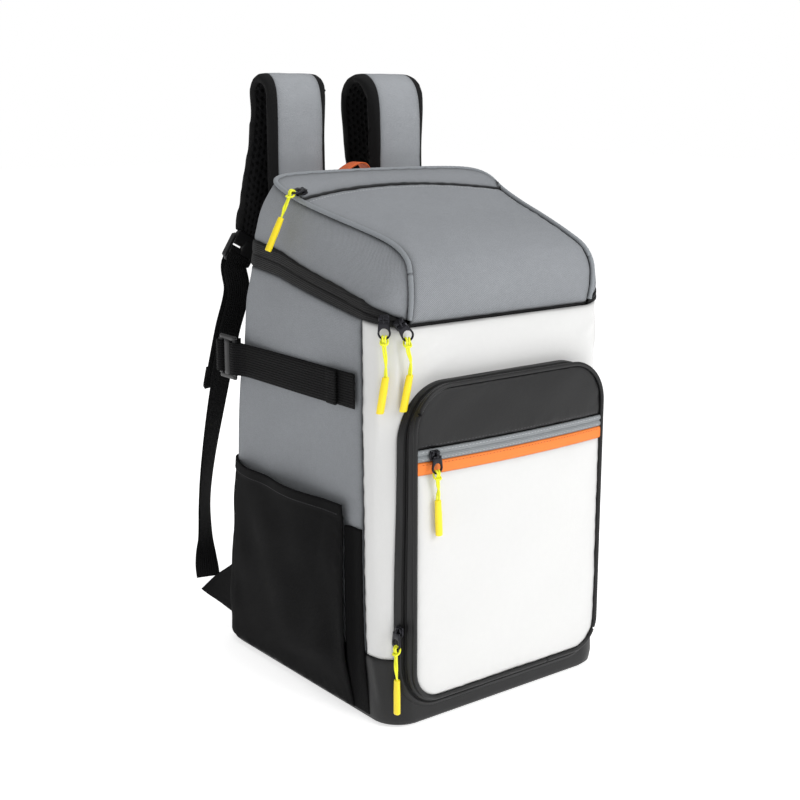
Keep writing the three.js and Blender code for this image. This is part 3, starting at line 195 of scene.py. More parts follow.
def outlinePoint(height, station, proud=0.0):
    # a rounded rectangle whose half sizes follow the sections: straight runs joined by quarter circles
    height, station, proud = np.broadcast_arrays(height, station, proud)
    across, front, back = sectionAt(height)
    across, front, back = across * halfWidth + proud, -front * halfDepth - proud, back * halfDepth + proud
    frontRadius, backRadius = bag["frontCorner"] + proud, bag["backCorner"] + proud
    side, along = np.where(station < 0, -1, 1), np.abs(station)
    frontTurn = (np.clip(along, 1, 2) - 1) * np.pi / 2
    backTurn = (np.clip(along, 3, 4) - 3) * np.pi / 2
    crown = bag["crown"] * np.sin(np.pi * np.clip(along - 2, 0, 1)) ** 2 * smooth(height, 0, bag["base"])
    x = np.select(
        [along <= 1, along <= 2, along <= 3, along <= 4],
        [(across - frontRadius) * along, across - frontRadius + frontRadius * np.sin(frontTurn), across + crown,
         across - backRadius + backRadius * np.cos(backTurn)],
        (across - backRadius) * (5 - along))
    y = np.select(
        [along <= 1, along <= 2, along <= 3, along <= 4],
        [front, front + frontRadius - frontRadius * np.cos(frontTurn),
         lerp(front + frontRadius, back - backRadius, along - 2), back - backRadius + backRadius * np.sin(backTurn)],
        back)
    return stack(side * x, y, height)


def zipLower(station):
    return column(zipEdges, "station", "lower", np.abs(station)) * lidSize["seam"]


def zipUpper(station):
    return column(zipEdges, "station", "upper", np.abs(station)) * lidSize["seam"]


def wrapped(station):
    return np.where(station > 5, station - 10, station)


def lidEdgePoint(station):
    along = np.abs(station)
    return stack(np.where(station < 0, -1, 1) * smoothColumn(lidEdge, "station", "across", along) * halfWidth,
                 smoothColumn(lidEdge, "station", "along", along) * halfDepth,
                 lidSize["seam"] + smoothColumn(lidEdge, "station", "up", along) * lidSize["rise"])


def lidHead(station):
    return np.sign(station) * column(lidFan, "foot", "head", np.abs(station))


def lidWallPoint(station, v):
    # straight from the zip up to the lid's edge, with a swell of half a sine wave
    foot = outlinePoint(zipUpper(station) + bag["gap"], station)
    head = lidEdgePoint(lidHead(station))
    point = foot + (head - foot) * v[..., None]
    out = unit(stack(point[..., 0] / halfWidth, point[..., 1] / halfDepth, 0 * point[..., 0]))
    tall = np.linalg.norm(head - foot, axis=-1)
    return point + out * (lidSize["fullness"] * np.sin(np.pi * v) * np.minimum(tall / 40, 1))[..., None]


def lidTopPoint(station, q):
    # between the side edges, raised and pushed back by a parabola in q
    edge = lidEdgePoint(station)
    middle = 1 - q * q
    back = smoothColumn(lidSwell, "station", "back", station) * halfDepth
    up = smoothColumn(lidSwell, "station", "up", station) * lidSize["crown"]
    return stack(edge[..., 0] * q, edge[..., 1] + back * middle, edge[..., 2] + up * middle)


pocketPlane = -0.939 * halfDepth - pocket["depth"]
pocketMiddle = (pocket["top"] + pocket["bottom"]) / 2


def pocketContour(count, grown=0.0, raised=0.0):
    # the rounded outline of the pocket's face, evenly spaced, run from the middle of its bottom edge
    half, low, high = pocket["half"] + grown, pocket["bottom"] - grown, pocket["top"] + raised
    small, large = pocket["bottomRadius"] + grown, pocket["topRadius"] + grown
    turn = np.linspace(0, np.pi / 2, 24)
    corners = ((half - small, low + small, small, -np.pi / 2), (half - large, high - large, large, 0),
               (large - half, high - large, large, np.pi / 2), (small - half, low + small, small, np.pi))
    line = [[[0, low]]]
    line += [np.stack([x + r * np.cos(a + turn), z + r * np.sin(a + turn)], -1) for x, z, r, a in corners]
    line = np.concatenate(line + [[[0, low]]])
    flat = resample(np.c_[line[:, 0], 0 * line[:, 0], line[:, 1]], count + 1)[:-1]
    return flat[:, [0, 2]]


def frontFaceDepth(x, z):
    across, front, _ = sectionAt(z)
    beyond = np.maximum(np.abs(x) - (across * halfWidth - bag["frontCorner"]), 0)
    radius = bag["frontCorner"]
    return -front * halfDepth + radius - np.sqrt(np.maximum(radius**2 - beyond**2, 0))


def pocketReach(z, inset):
    # half the width of the pocket's face at a height, kept inside its outline
    upper = z > pocketMiddle
    radius = np.where(upper, pocket["topRadius"], pocket["bottomRadius"])
    beyond = np.where(upper, z - pocket["top"] + radius, pocket["bottom"] + radius - z)
    return pocket["half"] - radius + np.sqrt(np.maximum((radius - inset) ** 2 - np.maximum(beyond, 0) ** 2, 0))


def facePoint(x, z, proud=0.0):
    swell = (1 - (x / pocket["half"]) ** 2) * (1 - np.abs((z - pocketMiddle) / (pocket["top"] - pocketMiddle)) ** 3)
    return stack(x, pocketPlane - pocket["crown"] * swell - proud, z)


# ---------------------------------------------------------------- meshes from arrays
def meshFrom(name, points, faceSets, uvSets=None, edge=None):
    # points in millimetres; each face set is an array with one face a row, each uv set matches its corners
    mesh = bpy.data.meshes.new(name)
    mesh.vertices.add(len(points))
    mesh.vertices.foreach_set("co", (np.asarray(points, float) * 0.001).ravel())
    sizes = np.concatenate([np.full(len(f), f.shape[1]) for f in faceSets])
    loops = np.concatenate([f.ravel() for f in faceSets])
    mesh.loops.add(len(loops))
    mesh.loops.foreach_set("vertex_index", loops.astype(np.int32))
    mesh.polygons.add(len(sizes))
    mesh.polygons.foreach_set("loop_start", np.r_[0, np.cumsum(sizes)[:-1]].astype(np.int32))
    mesh.update(calc_edges=True)
    if uvSets is not None:
        layer = mesh.uv_layers.new(name="cloth")
        layer.data.foreach_set("uv", np.concatenate([uv.reshape(-1, 2) for uv in uvSets]).ravel() * 0.001)
    # edge: painted seam shade, one value a point, read by the materials
    if edge is not None:
        mesh.attributes.new("edge", "FLOAT", "POINT").data.foreach_set("value", edge.ravel())
    mesh.validate()
    mesh.shade_smooth()
    return bpy.data.objects.new(name, mesh)


def cells(rows, columns, closed=False):
    # the four corners of each cell of a grid, round the way that makes rows cross columns face outwards
    index = np.arange(rows * columns).reshape(rows, columns)
    if closed:
        index = np.vstack([index, index[:1]])
    return np.stack([index[:-1, :-1], index[1:, :-1], index[1:, 1:], index[:-1, 1:]], -1).reshape(-1, 4)


def cellUv(u, v, closed=False):
    if closed:
        u = np.vstack([u, u[-1:] + (u[-1:] - u[-2:-1])])
        v = np.vstack([v, v[:1]])
    grid = np.stack([u, v], -1)
    return np.stack([grid[:-1, :-1], grid[1:, :-1], grid[1:, 1:], grid[:-1, 1:]], 2).reshape(-1, 4, 2)


def shell(name, outer, thickness, flip=False, closed=False, uv=None):
    # a cloth wall: the given grid, the same grid moved in along its normals, and the rim between them
    rows, columns = outer.shape[:2]
    normal = normalsOf(outer, closed) * (-1 if flip else 1)
    inner = outer - normal * thickness
    face = cells(rows, columns, closed)
    corners = cellUv(*(arcs(outer) if uv is None else uv), closed)
    count = rows * columns
    outerFace, innerFace = face, face[:, ::-1] + count
    index = np.arange(count).reshape(rows, columns)
    ring = np.vstack([index, index[:1]]) if closed else index
    rims = [np.stack([ring[1:, 0], ring[:-1, 0], ring[:-1, 0] + count, ring[1:, 0] + count], -1),
            np.stack([ring[:-1, -1], ring[1:, -1], ring[1:, -1] + count, ring[:-1, -1] + count], -1)]
    if not closed:
        rims += [np.stack([index[0, :-1], index[0, 1:], index[0, 1:] + count, index[0, :-1] + count], -1),
                 np.stack([index[-1, 1:], index[-1, :-1], index[-1, :-1] + count, index[-1, 1:] + count], -1)]
    rim = np.concatenate(rims)
    rimUv = np.zeros((len(rim), 4, 2))
    faceSets, uvSets = [outerFace, innerFace, rim], [corners, corners[:, ::-1], rimUv]
    if flip:
        faceSets = [f[:, ::-1] for f in faceSets]
        uvSets = [u[:, ::-1] for u in uvSets]
    u, v = arcs(outer)
    near = np.minimum(v, v[:, -1:] - v) if closed else np.minimum(np.minimum(u, u[-1:] - u), np.minimum(v, v[:, -1:] - v))
    # painted shade along the seams: how much the colour darkens near the panel's edges, where the seam creases fall;
    # the materials read it as the edge attribute
    seamShadow = 0.8 * np.exp(-near / 1.9) + 0.2 * np.exp(-near / 7)
    return meshFrom(name, np.concatenate([outer.reshape(-1, 3), inner.reshape(-1, 3)]), faceSets, uvSets,
                    np.concatenate([seamShadow.ravel(), seamShadow.ravel()]))


def loft(name, rings, capped=True, uv=None):
    # a solid from closed rings along a path: each ring's points run round the piece
    rows, columns = rings.shape[:2]
    index = np.arange(rows * columns).reshape(rows, columns)
    index = np.hstack([index, index[:, :1]])
    face = np.stack([index[:-1, :-1], index[:-1, 1:], index[1:, 1:], index[1:, :-1]], -1).reshape(-1, 4)
    run, round_ = arcs(np.concatenate([rings, rings[:, :1]], 1)) if uv is None else uv
    grid = np.stack([run, round_], -1)
    corners = np.stack([grid[:-1, :-1], grid[:-1, 1:], grid[1:, 1:], grid[1:, :-1]], 2).reshape(-1, 4, 2)
    faceSets, uvSets = [face], [corners]
    if capped:
        caps = np.stack([np.arange(columns)[::-1], (rows - 1) * columns + np.arange(columns)])
        faceSets.append(caps)
        uvSets.append(np.zeros((2, columns, 2)))
    obj = meshFrom(name, rings.reshape(-1, 3), faceSets, uvSets)
    return outward(obj)


def outward(obj):
    # turns the faces round if the closed surface holds a negative volume
    mesh = obj.data
    mesh.calc_loop_triangles()
    corner = np.empty(len(mesh.vertices) * 3)
    mesh.vertices.foreach_get("co", corner)
    corner = corner.reshape(-1, 3)
    triangle = np.empty(len(mesh.loop_triangles) * 3, np.int32)
    mesh.loop_triangles.foreach_get("vertices", triangle)
    a, b, c = (corner[triangle.reshape(-1, 3)[:, k]] for k in range(3))
    if np.einsum("ij,ij->i", a, np.cross(b, c)).sum() < 0:
        mesh.flip_normals()
    return obj


def joined(name, objects):
    # one mesh from several, for a piece that is made of a few closed shapes
    for obj in objects:
        bpy.context.scene.collection.objects.link(obj)
    with bpy.context.temp_override(active_object=objects[0], selected_editable_objects=objects,
                                   selected_objects=objects, object=objects[0]):
        bpy.ops.object.join()
    objects[0].name = name
    objects[0].data.name = name
    bpy.context.scene.collection.objects.unlink(objects[0])
    return objects[0]


def addPiece(obj, material, nodes=(), body="root"):
    for part in (material if isinstance(material, (list, tuple)) else [material]):
        if part.name not in [m.name for m in obj.data.materials if m]:
            obj.data.materials.append(part)
    bpy.context.scene.collection.objects.link(obj)
    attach(obj, body)
    if nodes:
        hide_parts(*nodes)
    return obj


def pathFrames(line, wide=None):
    # direction of travel, outward direction and width direction at each point of a line
    along = unit(np.gradient(line, axis=0))
    if wide is None:
        wide = np.broadcast_to(np.array([0.0, 0.0, 1.0]), line.shape)
        wide = np.where(np.abs(along[:, 2:]) > 0.9, np.array([1.0, 0.0, 0.0]), wide)
    out = unit(np.cross(along, wide))
    return along, out, unit(np.cross(out, along))


def tube(name, line, radius, sidesRound=10, wide=None, bump=None):
    # a circle of the given radius carried along the line
    along, out, across = pathFrames(line, wide)
    angle = np.linspace(0, 2 * np.pi, sidesRound, endpoint=False)
    r = np.broadcast_to(radius, (len(line),))[:, None] * np.ones((1, sidesRound))
    if bump is not None:
        r = r + bump
    rings = line[:, None] + r[..., None] * (np.cos(angle)[None, :, None] * out[:, None]
                                            + np.sin(angle)[None, :, None] * across[:, None])
    return loft(name, rings)


def bandRings(line, wide, width, thickness, edge=0.4, crown=0.0):
    # a flat band's cross-section: a long rectangle with rounded edges, carried along the line
    along, out, across = pathFrames(line, wide)
    half, t = np.broadcast_to(width, (len(line),))[:, None] / 2, thickness / 2
    a = np.array([-1, -0.66, -0.33, 0, 0.33, 0.66, 1])
    top = np.stack([np.r_[a * 1.0], np.r_[np.full(7, 1.0)]], -1)
    across_ = np.r_[a, 1.0, a[::-1], -1.0]
    inset = np.r_[-edge * np.sign(a) * (np.abs(a) == 1), 0, -edge * np.sign(a[::-1]) * (np.abs(a[::-1]) == 1), 0]
    lift = np.r_[np.full(7, 1.0), 0, np.full(7, -1.0), 0]
    bow = crown * (1 - across_**2)
    return (line[:, None] + ((across_ * half + inset)[..., None] * across[:, None])
            + ((lift * t + bow)[None, :, None] * out[:, None]))


def band(name, line, wide, width, thickness, **look):
    return loft(name, bandRings(line, wide, width, thickness, **look))


def revolved(name, radii, heights, start, axis, around=16, flat=1.0, side=None):
    # a profile of radii at heights turned round an axis, squeezed across it by flat
    axis = unit(np.asarray(axis, float))
    side = unit(np.cross(axis, [0.3, 0.9, 0.1]) if side is None else np.asarray(side, float))
    other = np.cross(axis, side)
    angle = np.linspace(0, 2 * np.pi, around, endpoint=False)
    radii, heights = np.asarray(radii, float), np.asarray(heights, float)
    rings = (np.asarray(start, float) + heights[:, None, None] * axis
             + radii[:, None, None] * (np.cos(angle)[None, :, None] * side
                                       + flat * np.sin(angle)[None, :, None] * other))
    return loft(name, rings)


def stitches(name, lines, length=2.9, pitch=3.9, radius=0.32):
    # sewing thread: a short spindle at each step along each line, half sunk in the cloth
    ring = np.linspace(0, 2 * np.pi, 6, endpoint=False)
    s = np.array([-0.55, 0.0, 0.55])
    r = np.array([0.75, 1.0, 0.75])
    unitPoints = np.concatenate([[[-1, 0, 0]], np.stack(np.broadcast_arrays(
        s[:, None], r[:, None] * np.cos(ring), r[:, None] * np.sin(ring)), -1).reshape(-1, 3), [[1, 0, 0]]])
    k = np.arange(6)
    n = (k + 1) % 6
    faces = [np.stack([0 * k, 1 + n, 1 + k], -1), np.stack([0 * k + 19, 13 + k, 13 + n], -1)]
    for row in (1, 7):
        faces += [np.stack([row + k, row + n, row + 6 + n], -1), np.stack([row + k, row + 6 + n, row + 6 + k], -1)]
    unitFaces = np.concatenate(faces)
    allPoints, allFaces, base = [], [], 0
    for line, normal in lines:
        run = np.r_[0, np.cumsum(np.linalg.norm(np.diff(line, axis=0), axis=1))]
        at = np.arange(pitch / 2, run[-1] - pitch / 3, pitch)
        if not len(at):
            continue
        centre = np.stack([np.interp(at, run, line[:, i]) for i in range(3)], -1)
        ahead = np.stack([np.interp(at + 0.5, run, line[:, i]) for i in range(3)], -1)
        up = unit(np.stack([np.interp(at, run, normal[:, i]) for i in range(3)], -1))
        along = unit(ahead - centre)
        across = unit(np.cross(up, along))
        points = (centre[:, None] + unitPoints[None, :, :1] * length / 2 * along[:, None]
                  + radius * (unitPoints[None, :, 1:2] * across[:, None] + unitPoints[None, :, 2:] * up[:, None])
                  - (np.abs(unitPoints[None, :, :1]) ** 2) * radius * 0.8 * up[:, None])
        allPoints.append(points.reshape(-1, 3))
        allFaces.append((unitFaces[None] + (base + 20 * np.arange(len(at)))[:, None, None]).reshape(-1, 3))
        base += 20 * len(at)
    faces = np.concatenate(allFaces)
    return outward(meshFrom(name, np.concatenate(allPoints), [faces], [np.zeros((len(faces), 3, 2))]))


def onGrid(points, normals, u, v, lift=0.1):
    # a line on a computed surface, given as row and column places in the grid, with its normals
    u, v = np.broadcast_arrays(np.asarray(u, float), np.asarray(v, float))
    rows, columns = points.shape[:2]
    u, v = np.clip(u, 0, rows - 1.001), np.clip(v, 0, columns - 1.001)
    i, j = u.astype(int), v.astype(int)
    s, t = (u - i)[:, None], (v - j)[:, None]

    def blendOf(field):
        return ((field[i, j] * (1 - s) + field[i + 1, j] * s) * (1 - t)
                + (field[i, j + 1] * (1 - s) + field[i + 1, j + 1] * s) * t)
    normal = unit(blendOf(normals))
    return blendOf(points) + normal * lift, normal


# ---------------------------------------------------------------- materials
def srgb(code):
    value = np.array([int(code[i:i + 2], 16) for i in (0, 2, 4)]) / 255
    return (*np.where(value <= 0.04045, value / 12.92, ((value + 0.055) / 1.055) ** 2.4), 1.0)


def calc(tree, operation, *values):
    node = tree.nodes.new("ShaderNodeMath")
    node.operation = operation
    for socket, value in zip(node.inputs, values):
        if isinstance(value, (int, float)):
            socket.default_value = value
        else:
            tree.links.new(value, socket)
    return node.outputs[0]


def newGroup(name, inputs, outputs):
    tree = bpy.data.node_groups.new(name, "ShaderNodeTree")
    for label, kind, value in inputs:
        socket = tree.interface.new_socket(label, in_out="INPUT", socket_type=kind)
        if value is not None:
            socket.default_value = value
    for label in outputs:
        tree.interface.new_socket(label, in_out="OUTPUT", socket_type="NodeSocketFloat")
    return tree, tree.nodes.new("NodeGroupInput").outputs, tree.nodes.new("NodeGroupOutput").inputs


def noiseOf(tree, coord, scale, detail=2.0):
    node = tree.nodes.new("ShaderNodeTexNoise")
    node.inputs["Scale"].default_value = scale
    node.inputs["Detail"].default_value = detail
    tree.links.new(coord, node.inputs["Vector"])
    return node.outputs["Fac"]


# threads: sin(2 pi (u + skew v) / pitch) and the same across it, with slubs of noise
weaveTree, gin, gout = newGroup("threadWeave", (("Coord", "NodeSocketVector", None), ("Pitch", "NodeSocketFloat", 0.001),
                                                ("Skew", "NodeSocketFloat", 1.0)), ("Height",))
split = weaveTree.nodes.new("ShaderNodeSeparateXYZ")
weaveTree.links.new(gin["Coord"], split.inputs[0])
turn = calc(weaveTree, "DIVIDE", 6.2832, gin["Pitch"])
warp = calc(weaveTree, "SINE", calc(weaveTree, "MULTIPLY", turn, calc(
    weaveTree, "ADD", split.outputs[0], calc(weaveTree, "MULTIPLY", gin["Skew"], split.outputs[1]))))
weft = calc(weaveTree, "SINE", calc(weaveTree, "MULTIPLY", turn, calc(
    weaveTree, "SUBTRACT", split.outputs[1], calc(weaveTree, "MULTIPLY", gin["Skew"], split.outputs[0]))))
cross = calc(weaveTree, "MULTIPLY", warp, weft)
threads = calc(weaveTree, "ADD", calc(weaveTree, "MULTIPLY", cross, calc(weaveTree, "SUBTRACT", 1.4, gin["Skew"])),
               calc(weaveTree, "MULTIPLY", warp, gin["Skew"]))
slub = calc(weaveTree, "MULTIPLY", calc(weaveTree, "SUBTRACT", noiseOf(weaveTree, gin["Coord"], 900.0), 0.5), 1.0)
weaveTree.links.new(calc(weaveTree, "ADD", calc(weaveTree, "MULTIPLY", threads, 0.35), slub), gout["Height"])

# webbing: rows of beads along the band, u along it and v across
ribTree, gin, gout = newGroup("webbingRib", (("Coord", "NodeSocketVector", None), ("Pitch", "NodeSocketFloat", 0.0014)),
                              ("Height",))
split = ribTree.nodes.new("ShaderNodeSeparateXYZ")
ribTree.links.new(gin["Coord"], split.inputs[0])
turn = calc(ribTree, "DIVIDE", 6.2832, gin["Pitch"])
alongRib = calc(ribTree, "MULTIPLY", turn, split.outputs[0])
acrossRib = calc(ribTree, "MULTIPLY", turn, split.outputs[1])
chevron = calc(ribTree, "MULTIPLY", calc(ribTree, "SINE", calc(ribTree, "MULTIPLY", acrossRib, 0.5)), 1.6)
beads = calc(ribTree, "SINE", calc(ribTree, "ADD", alongRib, chevron))
ribTree.links.new(calc(ribTree, "ADD", calc(ribTree, "MULTIPLY", beads, 0.3),
                       calc(ribTree, "MULTIPLY", calc(ribTree, "SINE", acrossRib), 0.6)), gout["Height"])

# broad tone changes of worn and handled cloth, about 1 in the middle
tintTree, gin, gout = newGroup("clothTint", (("Coord", "NodeSocketVector", None), ("Amount", "NodeSocketFloat", 0.06)),
                               ("Tone",))
broad = calc(tintTree, "ADD", noiseOf(tintTree, gin["Coord"], 14.0, 3.0), noiseOf(tintTree, gin["Coord"], 160.0, 2.0))
tintTree.links.new(calc(tintTree, "ADD", 1.0, calc(tintTree, "MULTIPLY", calc(tintTree, "SUBTRACT", broad, 1.0),
                                                   gin["Amount"])), gout["Tone"])

# a coated skin: fine pebbles with a softer swell under them
skinTree, gin, gout = newGroup("grainSkin", (("Coord", "NodeSocketVector", None), ("Scale", "NodeSocketFloat", 1100.0)),
                               ("Height",))
pebble = skinTree.nodes.new("ShaderNodeTexVoronoi")
skinTree.links.new(gin["Coord"], pebble.inputs["Vector"])
skinTree.links.new(gin["Scale"], pebble.inputs["Scale"])
skinTree.links.new(calc(skinTree, "ADD", pebble.outputs["Distance"],
                        calc(skinTree, "MULTIPLY", noiseOf(skinTree, gin["Coord"], 260.0, 3.0), 1.5)), gout["Height"])

groups = {"weave": weaveTree, "rib": ribTree, "tint": tintTree, "skin": skinTree}


def material(name, color, roughness, surface=None, pitch=0.001, skew=1.0, depth=0.00008, tint=0.10, seamShade=0.25,
             coord="cloth", shade=0.0, **shader):
    # a Principled surface; its relief comes from one of the groups and its tone from the tint, from painted shade along
    # the seams and, where shade is given, from the relief's height
    mat = bpy.data.materials.new(name)
    mat.use_nodes = True
    tree = mat.node_tree
    principled = tree.nodes["Principled BSDF"]
    principled.inputs["Roughness"].default_value = roughness
    for label, value in shader.items():
        principled.inputs[label.replace("_", " ")].default_value = value
    place = tree.nodes.new("ShaderNodeTexCoord").outputs["Object"]
    if coord == "cloth":
        uvMap = tree.nodes.new("ShaderNodeUVMap")
        uvMap.uv_map = "cloth"
        cloth = uvMap.outputs[0]
    else:
        cloth = place
    tone = tree.nodes.new("ShaderNodeGroup")
    tone.node_tree = groups["tint"]
    tone.inputs["Amount"].default_value = tint
    tree.links.new(place, tone.inputs["Coord"])
    value = tone.outputs["Tone"]
    # painted shade along the seams: the colour darkens by the edge attribute times this amount
    if seamShade:
        edge = tree.nodes.new("ShaderNodeAttribute")
        edge.attribute_name = "edge"
        value = calc(tree, "MULTIPLY", value, calc(tree, "SUBTRACT", 1.0, calc(tree, "MULTIPLY", edge.outputs["Fac"], seamShade)))
    if surface:
        relief = tree.nodes.new("ShaderNodeGroup")
        relief.node_tree = groups[surface]
        tree.links.new(cloth, relief.inputs["Coord"])
        # the colour follows the relief's height: the slubs' random tone, and painted shade in the low parts of the
        # threads and ribs
        if shade:
            value = calc(tree, "MULTIPLY", value, calc(tree, "ADD", 1.0, calc(tree, "MULTIPLY", relief.outputs["Height"], shade)))
    mix = tree.nodes.new("ShaderNodeVectorMath")
    mix.operation = "SCALE"
    mix.inputs[0].default_value = srgb(color)[:3]
    tree.links.new(value, mix.inputs["Scale"])
    tree.links.new(mix.outputs[0], principled.inputs["Base Color"])
    if surface:
        if "Pitch" in relief.inputs:
            relief.inputs["Pitch"].default_value = pitch
        if "Skew" in relief.inputs:
            relief.inputs["Skew"].default_value = skew
        if "Scale" in relief.inputs:
            relief.inputs["Scale"].default_value = pitch
        bump = tree.nodes.new("ShaderNodeBump")
        bump.inputs["Distance"].default_value = depth
        tree.links.new(relief.outputs["Height"], bump.inputs["Height"])
        tree.links.new(bump.outputs[0], principled.inputs["Normal"])
    return mat


# the value after the tint is painted shade along the seams; it is strongest on the grey twill, to darken the creases
# beside the piping and the seams
greyTwill = material("greyTwill", "8a8d91", 0.85, "weave", 0.0018, 1.0, 0.00030, 0.12, 0.85, shade=0.5,
                     Specular_IOR_Level=0.3)
strapTwill = material("strapTwill", "96999d", 0.85, "weave", 0.0018, 1.0, 0.00030, 0.12, 0.5, shade=0.5,
                      Specular_IOR_Level=0.3)
greyPiping = material("greyPiping", "8a8e92", 0.8, "weave", 0.0015, 0.0, 0.0002, 0.08, 0.0, shade=0.25, Specular_IOR_Level=0.3)
whiteCoated = material("whiteCoated", "d6d6d5", 0.42, "skin", 900.0, depth=0.00005, tint=0.03, seamShade=0.35,
                       Coat_Weight=0.08, Coat_Roughness=0.35)
blackCoated = material("blackCoated", "111112", 0.46, "skin", 800.0, depth=0.00006, tint=0.2, seamShade=0.0,
                       Specular_IOR_Level=0.35)
bandBlack = material("bandBlack", "0c0c0d", 0.65, "rib", 0.0018, depth=0.0004, tint=0.2, seamShade=0.0, shade=0.3,
                     Specular_IOR_Level=0.3)
wovenBlack = material("wovenBlack", "0a0a0b", 0.85, "weave", 0.0018, 0.0, 0.0003, 0.25, 0.0, shade=0.3,
                      Specular_IOR_Level=0.12)
webbing = material("webbing", "0b0b0c", 0.8, "rib", 0.0024, depth=0.0005, tint=0.25, seamShade=0.0, shade=0.5,
                   Specular_IOR_Level=0.15)
bindingCloth = material("bindingCloth", "0c0c0d", 0.8, "weave", 0.0016, 0.0, 0.0002, 0.2, 0.0, shade=0.3,
                        Specular_IOR_Level=0.2)
padCore = material("padCore", "080808", 0.9, None, tint=0.2, seamShade=0.0, coord="object", Specular_IOR_Level=0.1)
airMesh = material("airMesh", "0d0d0f", 0.9, "weave", 0.0009, 0.0, 0.0003, 0.3, 0.0, Specular_IOR_Level=0.25)
orangeTape = material("orangeTape", "f5822f", 0.6, "weave", 0.0016, 0.0, 0.0002, 0.06, 0.2, shade=0.15)
orangeWebbing = material("orangeWebbing", "d8622a", 0.7, "rib", 0.0022, depth=0.0003, tint=0.1, seamShade=0.0, shade=0.25)
greyTape = material("greyTape", "8d9194", 0.75, "rib", 0.0016, depth=0.0003, tint=0.08, seamShade=0.15, shade=0.25)
yellowCord = material("yellowCord", "eef02c", 0.55, None, tint=0.05, seamShade=0.0, coord="object")
yellowGrip = material("yellowGrip", "f6dd1e", 0.4, None, tint=0.03, seamShade=0.0, coord="object", Subsurface_Weight=0.05,
                      Subsurface_Scale=0.002)
blackPlastic = material("blackPlastic", "1b1b1c", 0.36, None, tint=0.15, seamShade=0.0, coord="object", Specular_IOR_Level=0.45)
sliderMetal = material("sliderMetal", "26262a", 0.22, None, tint=0.15, seamShade=0.0, coord="object", Metallic=0.8)
threadBlack = material("threadBlack", "1a1a1c", 0.7, None, tint=0.1, seamShade=0.0, coord="object")
threadGrey = material("threadGrey", "b4b7ba", 0.7, None, tint=0.1, seamShade=0.0, coord="object")
threadOrange = material("threadOrange", "b4531a", 0.65, None, tint=0.05, seamShade=0.0, coord="object")
threadDark = material("threadDark", "454548", 0.7, None, tint=0.1, seamShade=0.0, coord="object")


# ---------------------------------------------------------------- how sewn panels settle
def settled(points, dip=1.2, reach=5.0, pucker=0.2, fold=0.0, foldSize=90, seed=1, closed=False, edges="abcd", extra=0):
    # down by dip (1 - d / reach)^2 near the seams, puckered there by short waves, softly folded inside
    u, v = arcs(points, closed)
    ends = {"a": u, "b": u[-1:] - u, "c": v, "d": v[:, -1:] - v}
    d = np.min([ends[edge] for edge in edges], axis=0)
    lift = -dip * np.clip(1 - d / reach, 0, 1) ** 2 + pucker * waves(u, v, 13, seed) * np.exp(-d / 8)
    lift = lift + fold * waves(u, v, foldSize, seed + 1) * smooth(d, 0, 25) + extra
    return points + normalsOf(points, closed) * lift[..., None]


def ridge(a, b, start, end, width, height):
    # a soft fold along a straight line: height exp(-(d / width)^2), fading over its ends
    start, end = np.array(start, float), np.array(end, float)
    run = end - start
    length = np.linalg.norm(run)
    t = ((a - start[0]) * run[0] + (b - start[1]) * run[1]) / length**2
    d = ((a - start[0]) * run[1] - (b - start[1]) * run[0]) / length
    return height * np.exp(-(d / width) ** 2) * smooth(t, -0.1, 0.35) * smooth(1 - t, -0.1, 0.35)


def stationsAlong(start, end, step, height=220.0):
    fine = np.linspace(start, end, 800)
    line = outlinePoint(height, wrapped(fine))
    run = np.r_[0, np.cumsum(np.linalg.norm(np.diff(line, axis=0), axis=1))]
    return np.interp(np.linspace(0, run[-1], int(run[-1] / step) + 2), run, fine)


def bodyWall(start, end, low, high, step=2.6, proud=0.0):
    station = wrapped(stationsAlong(start, end, step))[:, None]
    bottom, top = low(station), high(station)
    columns = int(np.max(top - bottom) / step) + 3
    height = lerp(bottom, top, np.linspace(0, 1, columns)[None])
    return outlinePoint(height, station, proud), station + 0 * height, height


def level(height):
    return lambda station: height + 0 * station


# ---------------------------------------------------------------- body panels
print("body")
bodyLook = {"step": 3.1, "fold": 0.55, "foldSize": 120, "overlap": 1.0}

wall, station, height = bodyWall(-bag["frontSeam"], bag["frontSeam"], level(bag["base"] + 0.3), zipLower, bodyLook["step"])
x, z = wall[..., 0], wall[..., 2]
folds = sum(ridge(station, z, *f) for f in (
    ((-1.30, 372), (-1.22, 280), 0.06, 1.6), ((-1.62, 372), (-1.66, 250), 0.08, 1.2), ((-1.1, 366), (-0.96, 322), 0.04, 1.5),
    ((1.42, 376), (1.36, 318), 0.022, 1.6), ((-1.8, 250), (-1.75, 110), 0.1, 0.9)))
folds = folds + sum(ridge(x, z, *f) for f in (
    ((-104, 340), (-60, 362), 6, 1.6), ((-96, 326), (-40, 352), 7, 1.0), ((20, 345), (96, 352), 8, 0.8),
    ((96, 338), (122, 352), 5, 1.2)))
frontGrid = settled(wall, fold=bodyLook["fold"] * 0.6, foldSize=bodyLook["foldSize"], seed=3, extra=folds)
addPiece(shell("visual_front_panel", frontGrid, bag["cloth"]), whiteCoated, ["front_panel"])

sideGrids = {}
for side, sign in sides:
    ends = sorted((sign * (bag["frontSeam"] + 0.002), sign * bag["backSeam"]))
    wall, station, height = bodyWall(*ends, level(bag["base"] + 0.3), zipLower, bodyLook["step"])
    y, z = wall[..., 1], wall[..., 2]
    strapDent = -0.8 * np.exp(-((z - 311) / 15) ** 4) * smooth(y, -130, -90)
    folds = strapDent + sum(ridge(y, z, *f) for f in (
        ((-60, 292), (40, 246), 15, 0.9), ((-105, 360), (-40, 388), 12, 0.8), ((70, 330), (96, 392), 14, 0.9)))
    sideGrids[side] = settled(wall, fold=bodyLook["fold"], foldSize=bodyLook["foldSize"], seed=5 + sign, extra=folds)
    addPiece(shell(f"visual_side_panel_{side}", sideGrids[side], bag["cloth"]), greyTwill,
             [f"side_panel_{side}"])

